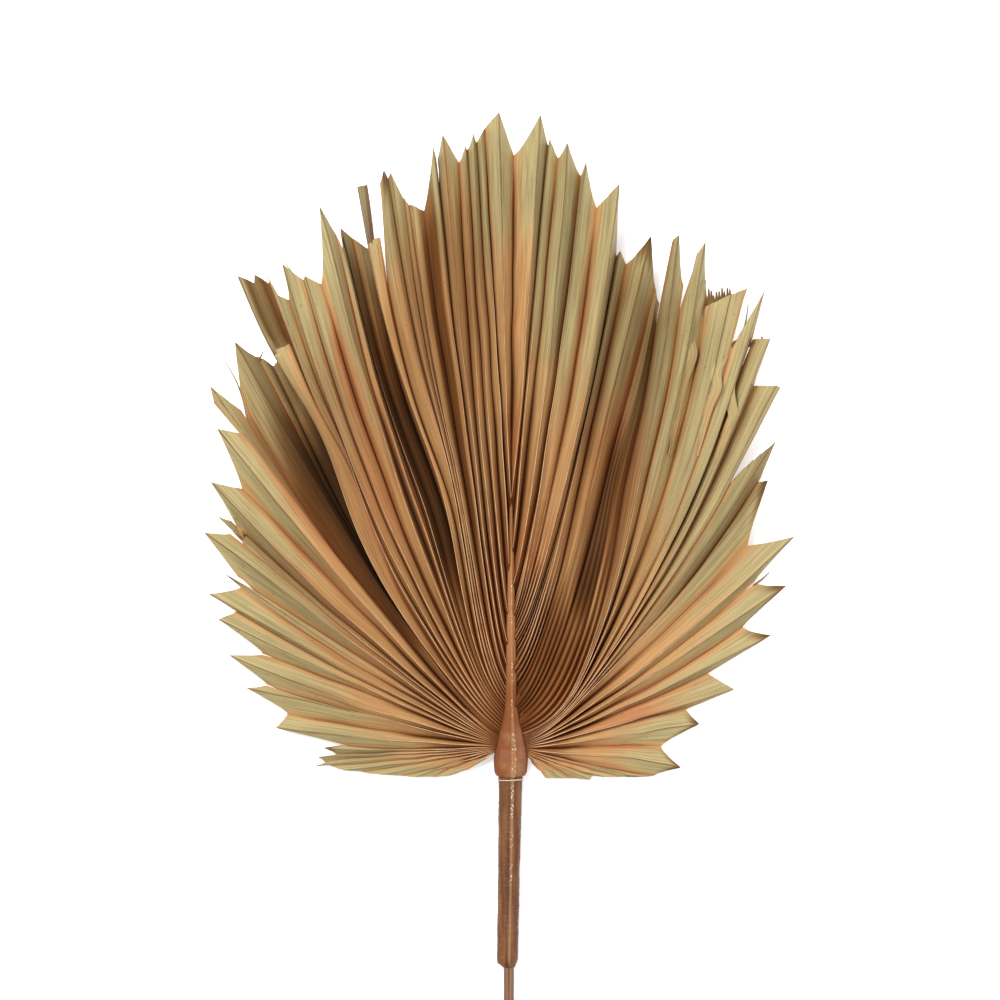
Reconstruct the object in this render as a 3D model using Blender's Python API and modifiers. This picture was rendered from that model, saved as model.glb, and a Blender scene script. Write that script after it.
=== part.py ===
"""Dried fan palm frond lying on a flat surface, back of the leaf up, in metres.

The blade is one pleated leaf. It grows from a tapering stalk whose midrib runs up its back.
The stalk's lower half is wrapped in a paper sleeve, tied at the top with a thread, and a round
stick stands in a socket bored up its cut end. +Y runs from the stick to the leaf's tip.
"""

import math

import bmesh
import bpy
from mathutils import Vector

MM = 0.001

# The heel is where the stalk meets the blade. All plan sizes below are millimetres from it.
HEEL_HEIGHT = 12.0
BLADE_THICKNESS = 0.6
FIT_GAP = 0.3
STALK_LEAN = -2.8

# Stations along the stalk and midrib: distance from the heel, half width, half height.
STALK_STATIONS = (
    (-158.0, 6.9, 5.9),
    (-90.0, 7.1, 6.1),
    (-24.0, 7.9, 6.6),
    (-20.0, 8.6, 6.9),
    (-17.0, 10.9, 7.0),
    (-12.0, 12.7, 7.0),
    (-7.0, 12.9, 6.8),
    (-1.5, 12.0, 6.5),
    (9.0, 9.9, 6.0),
    (15.0, 8.4, 5.6),
    (22.0, 6.6, 5.1),
    (32.0, 4.9, 4.6),
    (42.0, 4.3, 4.2),
    (82.0, 3.7, 3.6),
    (120.0, 2.8, 2.9),
    (155.0, 2.1, 2.2),
    (190.0, 1.0, 1.4),
    (208.0, 0.4, 0.7),
)
STALK_SIDES = 20
KEEL_RISE = 0.10

SLEEVE_TOP = -20.8
SLEEVE_SHOULDER = -161.0
SLEEVE_END = -164.0
SLEEVE_WALL = 0.8
SLEEVE_SIDES = 28

STICK_RADIUS = 3.9
STICK_SHOWN = 250.0
STICK_IN_SOCKET = 45.0
STICK_ASIDE = 1.2

TIE_RADIUS = 0.45
TIE_STATION = -23.0

# The blade's pleats, from its lowest left edge round to its lowest right edge. Each segment is
# a ridge, its midrib, that ends in a tip, and the valley to its right, where it is fused to the
# next segment. Points are x, y from the heel and height above the floor. A valley with two
# points is torn open at the rim: the first is the left segment's corner, the second the right's.
LEFT_EDGE = (-25, -10, 7)
SEGMENTS = (
    # left lower lobe
    ((-49, -20, 6), ((-58, -21, 4),)),
    ((-72, -21, 5), ((-83, -20, 3),)),
    ((-98, -19, 5), ((-112, -17, 2),)),
    ((-126, -16, 4), ((-137, -12, 1),)),
    ((-148, -13, 4), ((-140, -10, 1),)),
    ((-145, -6, 6), ((-131, -4, 2),)),
    ((-141, 1, 7), ((-128, 3, 3),)),
    ((-177, 16, 10), ((-168, 27, 6),)),
    ((-199, 46, 12), ((-184, 48, 7),)),
    ((-212, 71, 15), ((-187, 71, 9),)),
    ((-220, 98, 18), ((-206, 104, 12),)),
    ((-227, 117, 21), ((-203, 122, 14),)),
    ((-215, 132, 16), ((-203, 125, 12), (-205, 130, 20))),
    ((-230, 163, 25), ((-211, 162, 18), (-206, 162, 20))),
    ((-220, 175, 18), ((-211, 172, 14), (-204, 161, 20))),
    ((-225, 201, 28), ((-202, 196, 20),)),
    ((-220, 241, 32), ((-200, 237, 28), (-223, 260, 14))),
    ((-226, 273, 16), ((-203, 255, 12), (-203, 268, 22))),
    ((-207, 306, 28), ((-191, 295, 14),)),
    ((-184, 292, 12), ((-179, 288, 5),)),
    ((-176, 292, 6), ((-169, 315, 1),)),
    # centre left lobe, whose left edge hangs over the valley before it
    ((-205, 355, 32), ((-182, 354, 42),)),
    ((-174, 340, 44), ((-166, 337, 40),)),
    ((-171, 364, 46), ((-155, 352, 41),)),
    ((-154, 355, 44), ((-142, 349, 39),)),
    ((-143, 407, 44), ((-131, 386, 36),)),
    ((-126, 375, 34), ((-128, 388, 12),)),
    ((-128, 392, 16), ((-119, 384, 10),)),
    ((-113, 380, 12), ((-105, 376, 6), (-108, 424, 24))),
    # centre lobe
    ((-115, 422, 38), ((-98, 424, 44),)),
    ((-95, 434, 46), ((-92, 428, 40),)),
    ((-90, 432, 45), ((-80, 412, 38),)),
    ((-80, 413, 40), ((-76, 408, 36),)),
    ((-74, 408, 40), ((-65, 404, 32),)),
    ((-58, 451, 44), ((-56, 442, 36),)),
    ((-51, 460, 48), ((-39, 440, 36),)),
    ((-34, 452, 44), ((-33, 449, 38),)),
    ((-28, 461, 46), ((-26, 455, 38),)),
    ((-22, 461, 45), ((-20, 465, 40),)),
    ((-9, 477, 50), ((2, 445, 38),)),
    ((22, 475, 50), ((28, 452, 38),)),
    ((29, 457, 44), ((35, 443, 38),)),
    ((42, 454, 50), ((52, 430, 36),)),
    ((56, 440, 46), ((64, 406, 36),)),
    ((81, 424, 48), ((79, 370, 28),)),
    ((82, 374, 32), ((87, 364, 24),)),
    ((106, 385, 34), ((110, 345, 14),)),
    ((111, 339, 12), ((113, 335, 4), (122, 380, 38))),
    # right lobe
    ((127, 385, 42), ((130, 348, 32), (140, 371, 36))),
    ((146, 380, 44), ((148, 338, 32), (146, 332, 38))),
    ((165, 341, 44), ((177, 346, 42), (172, 309, 28))),
    ((190, 345, 38), ((181, 309, 28),)),
    ((194, 308, 36), ((182, 273, 26),)),
    ((199, 273, 31), ((202, 272, 28), (165, 195, 6))),
    # right lower lobe
    ((199, 232, 20), ((186, 201, 12),)),
    ((193, 202, 18), ((178, 153, 10),)),
    ((213, 160, 18), ((183, 126, 8),)),
    ((207, 123, 16), ((174, 92, 6),)),
    ((196, 86, 12), ((148, 57, 4),)),
    ((168, 45, 9), ((132, 30, 3),)),
    ((142, 19, 7), ((113, 2, 2),)),
    ((128, -14, 6), ((108, -20, 2),)),
    ((91, -21, 4), ((82, -21, 2),)),
    ((70, -21, 5), ((62, -20, 2),)),
    ((59, -23, 5), ((48, -22, 2),)),
    ((37, -22, 5), ((26, -22, 7),)),
)
CENTRE_VALLEY = 40
ROWS = (0.0, 0.03, 0.07, 0.12, 0.18, 0.26, 0.36, 0.48, 0.6, 0.72, 0.84, 0.9, 1.0)
TEAR_ROW = 11
LONG_TEAR = {53: 7}
BROKEN_RIGHT_HALF = {21: 10, 29: 11}

# How pleat lines run, at places counted in segments from the left edge: where the line leaves
# the stalk, how far it swings below its chord, and how sharply it bends where it leaves.
LINES_AT = (
    (0.0, -2.0, 0.0, 0.0),
    (8.0, 3.0, 0.03, 0.05),
    (16.0, 8.0, 0.09, 0.2),
    (21.0, 13.0, 0.24, 0.2),
    (27.0, 27.0, 0.18, 0.4),
    (30.0, 33.0, 0.15, 0.4),
    (34.0, 47.0, 0.12, 0.4),
    (36.0, 70.0, 0.1, 0.4),
    (38.0, 115.0, 0.05, 0.2),
    (40.0, 214.0, 0.0, 0.0),
    (41.0, 165.0, 0.02, 0.1),
    (43.0, 112.0, 0.08, 0.2),
    (45.0, 75.0, 0.13, 0.3),
    (46.5, 33.0, 0.18, 0.3),
    (47.5, 19.0, 0.33, 0.6),
    (48.0, 12.0, 0.42, 1.0),
    (51.0, 10.0, 0.36, 0.8),
    (54.0, 7.0, 0.26, 0.5),
    (57.0, 4.5, 0.12, 0.3),
    (60.0, 2.0, 0.05, 0.1),
    (66.0, -4.0, 0.0, 0.0),
)
BEND_REACH = 0.09
# Half the depth of a pleat, which grows with the distance from the stalk up to a limit.
PLEAT_START = 0.15
PLEAT_GROWTH = 0.018
PLEAT_LIMIT = 3.6
# The high parts of the leaf arch up between the stalk and the rim.
BOW = 0.3
BOW_FROM = 10.0


def between(value, low, high):
    """Where value lies between low and high, held to 0 and 1."""
    return max(0.0, min(1.0, (value - low) / (high - low)))


def at_station(table, place):
    """The row of a table of numbers, found by its first column, at a place between its rows."""
    for before, after in zip(table, table[1:]):
        if place <= after[0]:
            share = between(place, before[0], after[0])
            return [a + (b - a) * share for a, b in zip(before[1:], after[1:])]
    return list(table[-1][1:])


def stalk_height(y):
    """Height of the stalk's centre line: level behind the heel, then rising up the leaf's back."""
    if y < 0.0:
        return HEEL_HEIGHT + 0.02 * y
    return HEEL_HEIGHT + 0.16 * y - 0.00025 * y * y


def pleat_line(order, end, ridge):
    """Points from the stalk to one rim point. order counts segments, by halves, from the left."""
    root_y, sweep, bend = at_station(LINES_AT, order)
    side = (order > CENTRE_VALLEY) - (order < CENTRE_VALLEY)
    half_width, _ = at_station(STALK_STATIONS, root_y)
    root = Vector((side * (half_width + 2.0 * BLADE_THICKNESS), root_y, stalk_height(root_y)))
    chord = Vector(end) - root
    length = math.hypot(chord.x, chord.y)
    outward = Vector((chord.y, -chord.x, 0.0)) * side
    bow = BOW * max(0.0, end[2] - BOW_FROM)
    points = []
    for row in ROWS:
        swing = sweep * row * (1.0 - row) ** 1.2 + bend * row * math.exp(-row / BEND_REACH)
        pleat = min(PLEAT_LIMIT, PLEAT_START + PLEAT_GROWTH * length * row) * (1.0 - row**4)
        point = root + chord * row + outward * swing
        point.z += bow * math.sin(math.pi * row) + (pleat if ridge else -pleat)
        points.append(point)
    return points


def torn_line(points, end, tear_row):
    """A line that shares points up to tear_row and then strays to its own end."""
    stray = Vector(end) - points[-1]
    torn = []
    for row, point in enumerate(points):
        share = between(ROWS[row], ROWS[tear_row], 1.0)
        torn.append(point + stray * share)
    return torn


class Surface:
    """An open sheet, gathered vertex by vertex, that becomes one mesh object."""

    def __init__(self):
        self.mesh = bmesh.new()

    def line(self, points):
        return [self.mesh.verts.new(point * MM) for point in points]

    def strip(self, first, second, rows):
        for row in range(rows):
            corners = (first[row], first[row + 1], second[row + 1], second[row])
            self.mesh.faces.new(corners)

    def finish(self, name):
        data = bpy.data.meshes.new(name)
        self.mesh.to_mesh(data)
        self.mesh.free()
        return bpy.data.objects.new(name, data)


def make_blade():
    """The pleated leaf: an open sheet between neighbouring pleat lines, given its thickness."""
    sheet = Surface()
    last = len(ROWS) - 1
    left = sheet.line(pleat_line(0.0, LEFT_EDGE, False))
    for number, (tip, corners) in enumerate(SEGMENTS):
        ridge = sheet.line(pleat_line(number + 0.5, tip, True))
        valley_points = pleat_line(number + 1.0, corners[0], False)
        valley = sheet.line(valley_points)
        sheet.strip(ridge, left, last)
        sheet.strip(valley, ridge, BROKEN_RIGHT_HALF.get(number, last))
        left = valley
        if len(corners) > 1:
            tear_row = LONG_TEAR.get(number, TEAR_ROW)
            torn = torn_line(valley_points, corners[1], tear_row)
            left = valley[: tear_row + 1] + sheet.line(torn[tear_row + 1:])
    blade = sheet.finish("blade")
    solidify = blade.modifiers.new("thickness", "SOLIDIFY")
    solidify.thickness = BLADE_THICKNESS * MM
    solidify.offset = 0.0
    return blade


def ring(centre, half_width, half_height, sides, keel=0.0):
    """One section across the stalk, an ellipse that a keel may raise along the top."""
    points = []
    for k in range(sides):
        turn = 2.0 * math.pi * k / sides
        up = math.sin(turn)
        swell = 1.0 + keel * max(0.0, up) ** 8
        points.append(centre + Vector((half_width * math.cos(turn), 0.0, half_height * up * swell)))
    return points


def loft(name, rings, closed_loop=False):
    """A solid through rings of equal count, capped at both ends or joined end to end."""
    mesh = bmesh.new()
    made = [[mesh.verts.new(point * MM) for point in points] for points in rings]
    pairs = list(zip(made, made[1:]))
    if closed_loop:
        pairs.append((made[-1], made[0]))
    else:
        mesh.faces.new(made[0])
        mesh.faces.new(list(reversed(made[-1])))
    for first, second in pairs:
        for k in range(len(first)):
            after = (k + 1) % len(first)
            mesh.faces.new((first[k], second[k], second[after], first[after]))
    bmesh.ops.recalc_face_normals(mesh, faces=mesh.faces)
    data = bpy.data.meshes.new(name)
    mesh.to_mesh(data)
    mesh.free()
    return bpy.data.objects.new(name, data)


def stalk_centre(y):
    """The stalk's centre line: it leans a little to the left below the heel."""
    lean = STALK_LEAN * between(-y, 0.0, -SLEEVE_END)
    return Vector((lean, y, stalk_height(y)))


def stick_ends():
    """The stick's two ends: inside the socket, and its free end resting on the floor."""
    mouth = stalk_centre(SLEEVE_END) + Vector((STICK_ASIDE, 0.0, 0.0))
    free = Vector((mouth.x, SLEEVE_END - STICK_SHOWN, STICK_RADIUS))
    along = (mouth - free).normalized()
    return mouth + along * STICK_IN_SOCKET, free


def rod(name, start, end, radius, sides):
    """A straight round rod between two points."""
    mesh = bmesh.new()
    length = (end - start).length
    bmesh.ops.create_cone(mesh, cap_ends=True, segments=sides, radius1=radius * MM,
                          radius2=radius * MM, depth=length * MM)
    data = bpy.data.meshes.new(name)
    mesh.to_mesh(data)
    mesh.free()
    item = bpy.data.objects.new(name, data)
    item.rotation_mode = "QUATERNION"
    item.rotation_quaternion = (end - start).to_track_quat("Z", "Y")
    item.location = (start + end) * 0.5 * MM
    return item


def make_stalk(cutters):
    """Stalk and midrib in one piece, with the stick's socket bored into its cut end."""
    rings = []
    for y, half_width, half_height in STALK_STATIONS:
        rings.append(ring(stalk_centre(y), half_width, half_height, STALK_SIDES, KEEL_RISE))
    stalk = loft("stalk", rings)
    top, free = stick_ends()
    along = (top - free).normalized()
    bore = rod("socket_bore", top + along * 2.0, free, STICK_RADIUS + FIT_GAP, 24)
    bore.hide_render = True
    bore.display_type = "WIRE"
    cutters.objects.link(bore)
    cut = stalk.modifiers.new("socket", "BOOLEAN")
    cut.operation = "DIFFERENCE"
    cut.object = bore
    return stalk


def sleeve_section(y):
    """Half width and half height of the sleeve's inside, which follows the stalk it wraps."""
    _, half_width, half_height = (y, *at_station(STALK_STATIONS, y))
    return half_width + FIT_GAP + 0.1, half_height * (1.0 + KEEL_RISE) + FIT_GAP + 0.1


def make_sleeve():
    """Paper sleeve round the stalk, drawn in over the cut end to the stick."""
    outside, inside = [], []
    for y in (SLEEVE_TOP, -60.0, -95.0, -130.0, SLEEVE_SHOULDER + 1.5):
        wide, high = sleeve_section(y)
        centre = stalk_centre(y)
        inside.append(ring(centre, wide, high, SLEEVE_SIDES))
        outside.append(ring(centre, wide + SLEEVE_WALL, high + SLEEVE_WALL, SLEEVE_SIDES))
    neck = STICK_RADIUS + FIT_GAP
    end = stalk_centre(SLEEVE_END) + Vector((STICK_ASIDE, 0.0, 0.0))
    outside.append(ring(end, neck + SLEEVE_WALL, neck + SLEEVE_WALL, SLEEVE_SIDES))
    inside.append(ring(end, neck, neck, SLEEVE_SIDES))
    return loft("sleeve", outside + inside[::-1], closed_loop=True)


def make_tie():
    """Thread tied round the top of the sleeve: one closed turn."""
    wide, high = sleeve_section(TIE_STATION)
    clear = SLEEVE_WALL + TIE_RADIUS + FIT_GAP
    turn = ring(stalk_centre(TIE_STATION), wide + clear, high + clear, 32)
    curve = bpy.data.curves.new("tie", "CURVE")
    curve.dimensions = "3D"
    curve.bevel_depth = TIE_RADIUS * MM
    curve.bevel_resolution = 1
    spline = curve.splines.new("POLY")
    spline.points.add(len(turn) - 1)
    for slot, point in zip(spline.points, turn):
        slot.co = (*(point * MM), 1.0)
    spline.use_cyclic_u = True
    return bpy.data.objects.new("tie", curve)


def make_stick():
    """Round wooden stick, its upper end in the stalk's socket."""
    top, free = stick_ends()
    return rod("stick", top, free, STICK_RADIUS, 24)


def paint(item, name, colour, roughness):
    material = bpy.data.materials.new(name)
    material.use_nodes = True
    shader = material.node_tree.nodes["Principled BSDF"]
    shader.inputs["Base Color"].default_value = (*colour, 1.0)
    shader.inputs["Roughness"].default_value = roughness
    shader.inputs["Metallic"].default_value = 0.0
    item.data.materials.append(material)


def corners_of(items):
    """Lowest and highest corner of the finished objects."""
    bpy.context.view_layer.update()
    graph = bpy.context.evaluated_depsgraph_get()
    points = []
    for item in items:
        finished = item.evaluated_get(graph)
        for vertex in finished.to_mesh().vertices:
            points.append(finished.matrix_world @ vertex.co)
        finished.to_mesh_clear()
    low = Vector([min(point[axis] for point in points) for axis in range(3)])
    high = Vector([max(point[axis] for point in points) for axis in range(3)])
    return low, high


def main():
    for item in list(bpy.data.objects):
        bpy.data.objects.remove(item)
    frond = bpy.data.collections.new("palm_frond")
    cutters = bpy.data.collections.new("cutters")
    bpy.context.scene.collection.children.link(frond)
    bpy.context.scene.collection.children.link(cutters)

    blade = make_blade()
    stalk = make_stalk(cutters)
    sleeve = make_sleeve()
    tie = make_tie()
    stick = make_stick()
    paint(blade, "dried_leaf", (0.52, 0.33, 0.17), 0.6)
    paint(stalk, "dried_stalk", (0.42, 0.19, 0.08), 0.45)
    paint(sleeve, "brown_paper", (0.26, 0.12, 0.06), 0.55)
    paint(tie, "white_thread", (0.75, 0.70, 0.62), 0.7)
    paint(stick, "stick_wood", (0.30, 0.16, 0.08), 0.6)
    pieces = (blade, stalk, sleeve, tie, stick)
    for item in pieces:
        frond.objects.link(item)

    low, high = corners_of(pieces)
    middle = (low + high) * 0.5
    for item in (*pieces, *cutters.objects):
        item.location -= Vector((middle.x, middle.y, 0.0))


main()
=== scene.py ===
"""Dried fan palm frond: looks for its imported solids, laid out as an add-on and run as a script.

The leaf lies on its face, back up, so the midribs of its pleats stand out as fine ridges and the
margins where the leaflets are fused lie in the valleys between them.
"""

import math
import random

import bmesh
import bpy
import numpy as np
from bpy.props import FloatProperty, FloatVectorProperty, IntProperty, PointerProperty
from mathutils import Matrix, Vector, noise


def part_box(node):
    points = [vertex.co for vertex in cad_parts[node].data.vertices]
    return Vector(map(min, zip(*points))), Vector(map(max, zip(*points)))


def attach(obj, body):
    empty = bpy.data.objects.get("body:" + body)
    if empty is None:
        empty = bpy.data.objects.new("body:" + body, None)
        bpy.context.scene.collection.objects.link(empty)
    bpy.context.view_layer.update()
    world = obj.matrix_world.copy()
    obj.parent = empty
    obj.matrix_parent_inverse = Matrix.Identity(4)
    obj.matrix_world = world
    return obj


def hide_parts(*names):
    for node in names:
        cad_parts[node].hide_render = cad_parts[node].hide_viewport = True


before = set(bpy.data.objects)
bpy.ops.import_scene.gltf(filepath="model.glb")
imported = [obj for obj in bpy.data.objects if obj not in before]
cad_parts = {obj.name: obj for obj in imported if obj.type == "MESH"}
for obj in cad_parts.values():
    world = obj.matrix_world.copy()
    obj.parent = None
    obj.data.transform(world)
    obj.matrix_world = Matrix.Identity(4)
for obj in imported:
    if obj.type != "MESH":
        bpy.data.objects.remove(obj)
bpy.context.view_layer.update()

bl_info = {
    "name": "Dried Fan Palm Frond",
    "version": (1, 0, 0),
    "blender": (4, 5, 0),
    "location": "View3D > Sidebar > Frond",
    "description": "Builds a dried fan palm frond on a wrapped stick",
    "category": "Add Mesh",
}

MM = 0.001

# The heel is where the stalk meets the leaf. All plan sizes below are millimetres from it: here,
# how far the leaf reaches to its left and how far the stalk runs up the leaf.
LEAF_LEFT = 229.87
STALK_REACH = 208.0
HEEL = Vector((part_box("blade")[0].x + LEAF_LEFT * MM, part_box("stalk")[1].y - STALK_REACH * MM, 0.0))
HEEL_HEIGHT = 12.0

# Distance from the heel, half width and half height of the stalk and of the midrib it runs into.
STALK_STATIONS = np.array((
    (-158.0, 6.9, 5.9),
    (-90.0, 7.1, 6.1),
    (-24.0, 7.9, 6.6),
    (-21.0, 8.5, 6.8),
    (-19.6, 11.2, 6.9),
    (-17.0, 12.3, 7.0),
    (-12.0, 12.8, 7.0),
    (-7.0, 12.9, 6.8),
    (-1.5, 12.0, 6.5),
    (9.0, 9.9, 6.0),
    (15.0, 8.4, 5.6),
    (22.0, 6.6, 5.1),
    (32.0, 4.9, 4.6),
    (42.0, 4.3, 4.2),
    (82.0, 3.7, 3.6),
    (120.0, 2.8, 2.9),
    (155.0, 2.1, 2.2),
    (190.0, 1.0, 1.4),
    (STALK_REACH, 0.4, 0.7),
))
STALK_CUT = -158.0
# How far the sleeve's end leans to the side.
STALK_LEAN = -2.8
SLEEVE_TOP = -20.8
SLEEVE_END = -164.0
# How far the sleeve's outside and inside stand off the stalk, and where its paper is gathered in.
SLEEVE_OUT, SLEEVE_IN = 1.1, 0.35
SLEEVE_GATHER = (-158.4, -159.6)
TIE_STATION = -23.0
THREAD_RADIUS = 0.24
# How far beside the sleeve's middle the stick comes out, and its length past the sleeve.
STICK_ASIDE = 1.2
STICK_RADIUS = 3.9
STICK_SHOWN = 250.0
STICK_IN_SOCKET = 45.0
STALK_SIDES, SLEEVE_SIDES, STICK_SIDES = 64, 72, 60

# The leaf's pleats, from its lowest left edge round to its lowest right edge. Each segment is a
# midrib that ends in a tip, then the valley to its right. A valley with two points is torn open
# there: the left segment's corner, then the right's. A third entry is where the midrib's right
# side has snapped off. Points are x and y from the heel and height above the floor.
LEFT_EDGE = (-25, -10, 7)
SEGMENTS = (
    # left lower lobe
    ((-49, -20, 6), ((-58, -21, 5),)),
    ((-72, -21, 5), ((-83, -20, 4),)),
    ((-98, -19, 5), ((-112, -17, 3),)),
    ((-126, -16, 4), ((-137, -12, 3),)),
    ((-148, -13, 4), ((-140, -10, 3),)),
    ((-145, -6, 6), ((-131, -4, 4),)),
    ((-141, 1, 7), ((-128, 3, 5),)),
    ((-177, 16, 10), ((-168, 27, 8),)),
    ((-199, 46, 12), ((-184, 48, 10),)),
    ((-212, 71, 15), ((-187, 71, 13),)),
    ((-220, 98, 18), ((-206, 104, 16),)),
    ((-227, 117, 21), ((-203, 122, 15),)),
    ((-215, 132, 16), ((-203, 125, 14), (-205, 130, 20))),
    ((-230, 163, 25), ((-211, 162, 18), (-206, 162, 20))),
    ((-220, 175, 18), ((-211, 172, 14), (-204, 161, 20))),
    ((-225, 201, 28), ((-202, 196, 20),)),
    ((-220, 241, 32), ((-200, 237, 28), (-223, 260, 14))),
    ((-226, 273, 16), ((-203, 255, 12), (-203, 268, 22))),
    ((-207, 306, 28), ((-191, 295, 14),)),
    ((-184, 292, 12), ((-179, 288, 5),)),
    ((-176, 292, 6), ((-181, 352, 14),)),
    # centre left lobe, whose left edge hangs over the valley before it
    ((-205, 355, 32), ((-166, 304, 38), (-182, 354, 42)), (-177, 300, 34)),
    ((-174, 340, 44), ((-166, 337, 40),)),
    ((-171, 364, 46), ((-155, 352, 41),)),
    ((-154, 355, 44), ((-142, 349, 39),)),
    ((-143, 407, 44), ((-131, 386, 36),)),
    ((-126, 375, 34), ((-128, 388, 12),)),
    ((-128, 392, 16), ((-119, 384, 10),)),
    ((-113, 380, 12), ((-105, 376, 6), (-108, 424, 24))),
    # centre lobe
    ((-115, 422, 38), ((-98, 384, 38), (-98, 424, 44)), (-104, 382, 38)),
    ((-95, 434, 46), ((-92, 428, 40),)),
    ((-90, 432, 45), ((-80, 412, 38),)),
    ((-80, 413, 40), ((-76, 408, 36),)),
    ((-74, 408, 40), ((-65, 404, 32),)),
    ((-58, 451, 44), ((-56, 442, 36),)),
    ((-51, 460, 48), ((-39, 440, 36),)),
    ((-34, 452, 44), ((-33, 449, 38),)),
    ((-28, 461, 46), ((-26, 455, 38),)),
    ((-22, 461, 45), ((-20, 465, 40),)),
    ((-9, 477, 50), ((2, 445, 38),)),
    ((22, 475, 50), ((28, 452, 38),)),
    ((29, 457, 44), ((35, 443, 38),)),
    ((42, 454, 50), ((52, 430, 36),)),
    ((56, 440, 46), ((64, 406, 36),)),
    ((81, 424, 48), ((79, 370, 28),)),
    ((82, 374, 32), ((87, 364, 24),)),
    ((106, 385, 34), ((110, 345, 20),)),
    ((111, 339, 19), ((113, 335, 12), (122, 380, 38))),
    # right lobe
    ((127, 385, 42), ((130, 348, 32), (140, 371, 36))),
    ((146, 380, 44), ((148, 338, 32), (146, 332, 38))),
    ((165, 341, 44), ((177, 346, 42), (172, 309, 28))),
    ((190, 345, 38), ((181, 309, 28),)),
    ((194, 308, 36), ((182, 273, 26),)),
    ((199, 273, 31), ((202, 272, 28), (165, 195, 6))),
    # right lower lobe
    ((199, 232, 20), ((186, 201, 12),)),
    ((193, 202, 18), ((178, 153, 15),)),
    ((213, 160, 18), ((183, 126, 13),)),
    ((207, 123, 16), ((174, 92, 10),)),
    ((196, 86, 12), ((148, 57, 7),)),
    ((168, 45, 9), ((132, 30, 5),)),
    ((142, 19, 7), ((113, 2, 4),)),
    ((128, -14, 6), ((108, -20, 3),)),
    ((91, -21, 4), ((82, -21, 3),)),
    ((70, -21, 5), ((62, -20, 4),)),
    ((59, -23, 5), ((48, -22, 4),)),
    ((37, -22, 5), ((26, -22, 7),)),
)
# The valley under the main midrib, counted in segments from the left edge.
CENTRE_VALLEY = 40

# From where on a torn or split valley is open, as a share of its length, by segment, how wide a
# split is, and from where on the right side of a snapped midrib strays.
TEARS = {12: 0.93, 13: 0.93, 14: 0.93, 16: 0.88, 17: 0.96, 21: 0.83, 28: 0.88, 29: 0.9,
         47: 0.93, 48: 0.93, 49: 0.95, 50: 0.87, 53: 0.74}
SLITS = {6: 0.93, 8: 0.93, 9: 0.93, 34: 0.93, 51: 0.92, 56: 0.93}
SLIT_GAP = 1.2
SNAPS = {21: 0.83, 29: 0.9}
# Segments whose rim bulges between tip and valley, by segment and side, in place of a spike.
RIM_BULGES = {(21, -1): 0.35, (26, 1): 0.7, (29, -1): 1.0, (48, -1): 0.5, (50, -1): 1.0,
              (50, 1): 1.0, (51, -1): 1.0, (51, 1): 1.0, (53, -1): 1.0, (53, 1): 1.0}
# Millimetres that a ragged rim is cut back at each line between midrib and valley.
RIM_NOTCHES = {(21, -1): (1.0, 4.0, 8.0, 1.0, 5.0, 8.0)}

# How pleat lines run, at places counted in segments from the left edge: where the line leaves
# the stalk, how far it swings below its chord, and how sharply it bends where it leaves.
LINES_AT = np.array((
    (0.0, -2.0, 0.0, 0.0),
    (8.0, 3.0, 0.03, 0.05),
    (16.0, 8.0, 0.09, 0.2),
    (21.0, 13.0, 0.24, 0.2),
    (27.0, 27.0, 0.18, 0.4),
    (30.0, 33.0, 0.15, 0.4),
    (34.0, 47.0, 0.1, 0.25),
    (36.0, 70.0, 0.07, 0.12),
    (38.0, 115.0, 0.03, 0.04),
    (40.0, 214.0, 0.0, 0.0),
    (41.0, 165.0, 0.02, 0.04),
    (43.0, 112.0, 0.06, 0.1),
    (45.0, 75.0, 0.12, 0.25),
    (46.5, 33.0, 0.18, 0.3),
    (47.5, 19.0, 0.33, 0.6),
    (48.0, 12.0, 0.42, 1.0),
    (51.0, 10.0, 0.36, 0.8),
    (54.0, 7.0, 0.26, 0.5),
    (57.0, 4.5, 0.12, 0.3),
    (60.0, 2.0, 0.05, 0.1),
    (66.0, -4.0, 0.0, 0.0),
))
# The bend's reach, as a share of the line's length.
BEND_REACH = 0.09
# A line whose tip lies higher than this bows upwards by this share of the rest of its height.
BOW_FROM = 8.0
BOW = 0.3
# The leaf's least height above the floor, and the height over which it eases down to that.
FLOOR_CLEARANCE = 0.6
FLOOR_EASING = 2.0

# Where the leaf turns sage towards the rim, how strong its terracotta is, and how much painted
# shade darkens its middle, by segment.
TONES_AT = np.array((
    (0.0, 0.55, 0.55, 0.1),
    (8.0, 0.5, 0.5, 0.18),
    (14.0, 0.55, 0.5, 0.18),
    (17.0, 0.68, 0.55, 0.16),
    (21.0, 0.66, 0.5, 0.28),
    (22.0, 0.66, 0.62, 0.3),
    (25.0, 0.7, 0.7, 0.3),
    (28.0, 0.76, 0.65, 0.25),
    (33.0, 0.8, 0.6, 0.24),
    (38.0, 0.8, 0.45, 0.18),
    (40.0, 0.55, 0.4, 0.0),
    (42.0, 0.42, 0.4, 0.0),
    (44.0, 0.5, 0.6, 0.02),
    (46.0, 0.62, 0.8, 0.08),
    (48.0, 0.55, 0.5, 0.0),
    (50.0, 0.38, 0.3, 0.1),
    (53.0, 0.45, 0.35, 0.12),
    (56.0, 0.55, 0.5, 0.0),
    (61.0, 0.6, 0.6, 0.0),
    (66.0, 0.65, 0.6, 0.05),
))

# How deep the pleats stay in the outer half of the leaf, by segment.
OUTER_DEPTH_AT = np.array((
    (0.0, 0.13), (13.0, 0.15), (19.0, 0.3), (24.0, 0.5), (28.0, 0.8), (38.0, 0.8), (41.0, 0.55),
    (43.0, 0.7), (46.0, 0.75), (48.0, 0.4), (53.0, 0.25), (55.0, 0.15), (66.0, 0.13),
))
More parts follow.
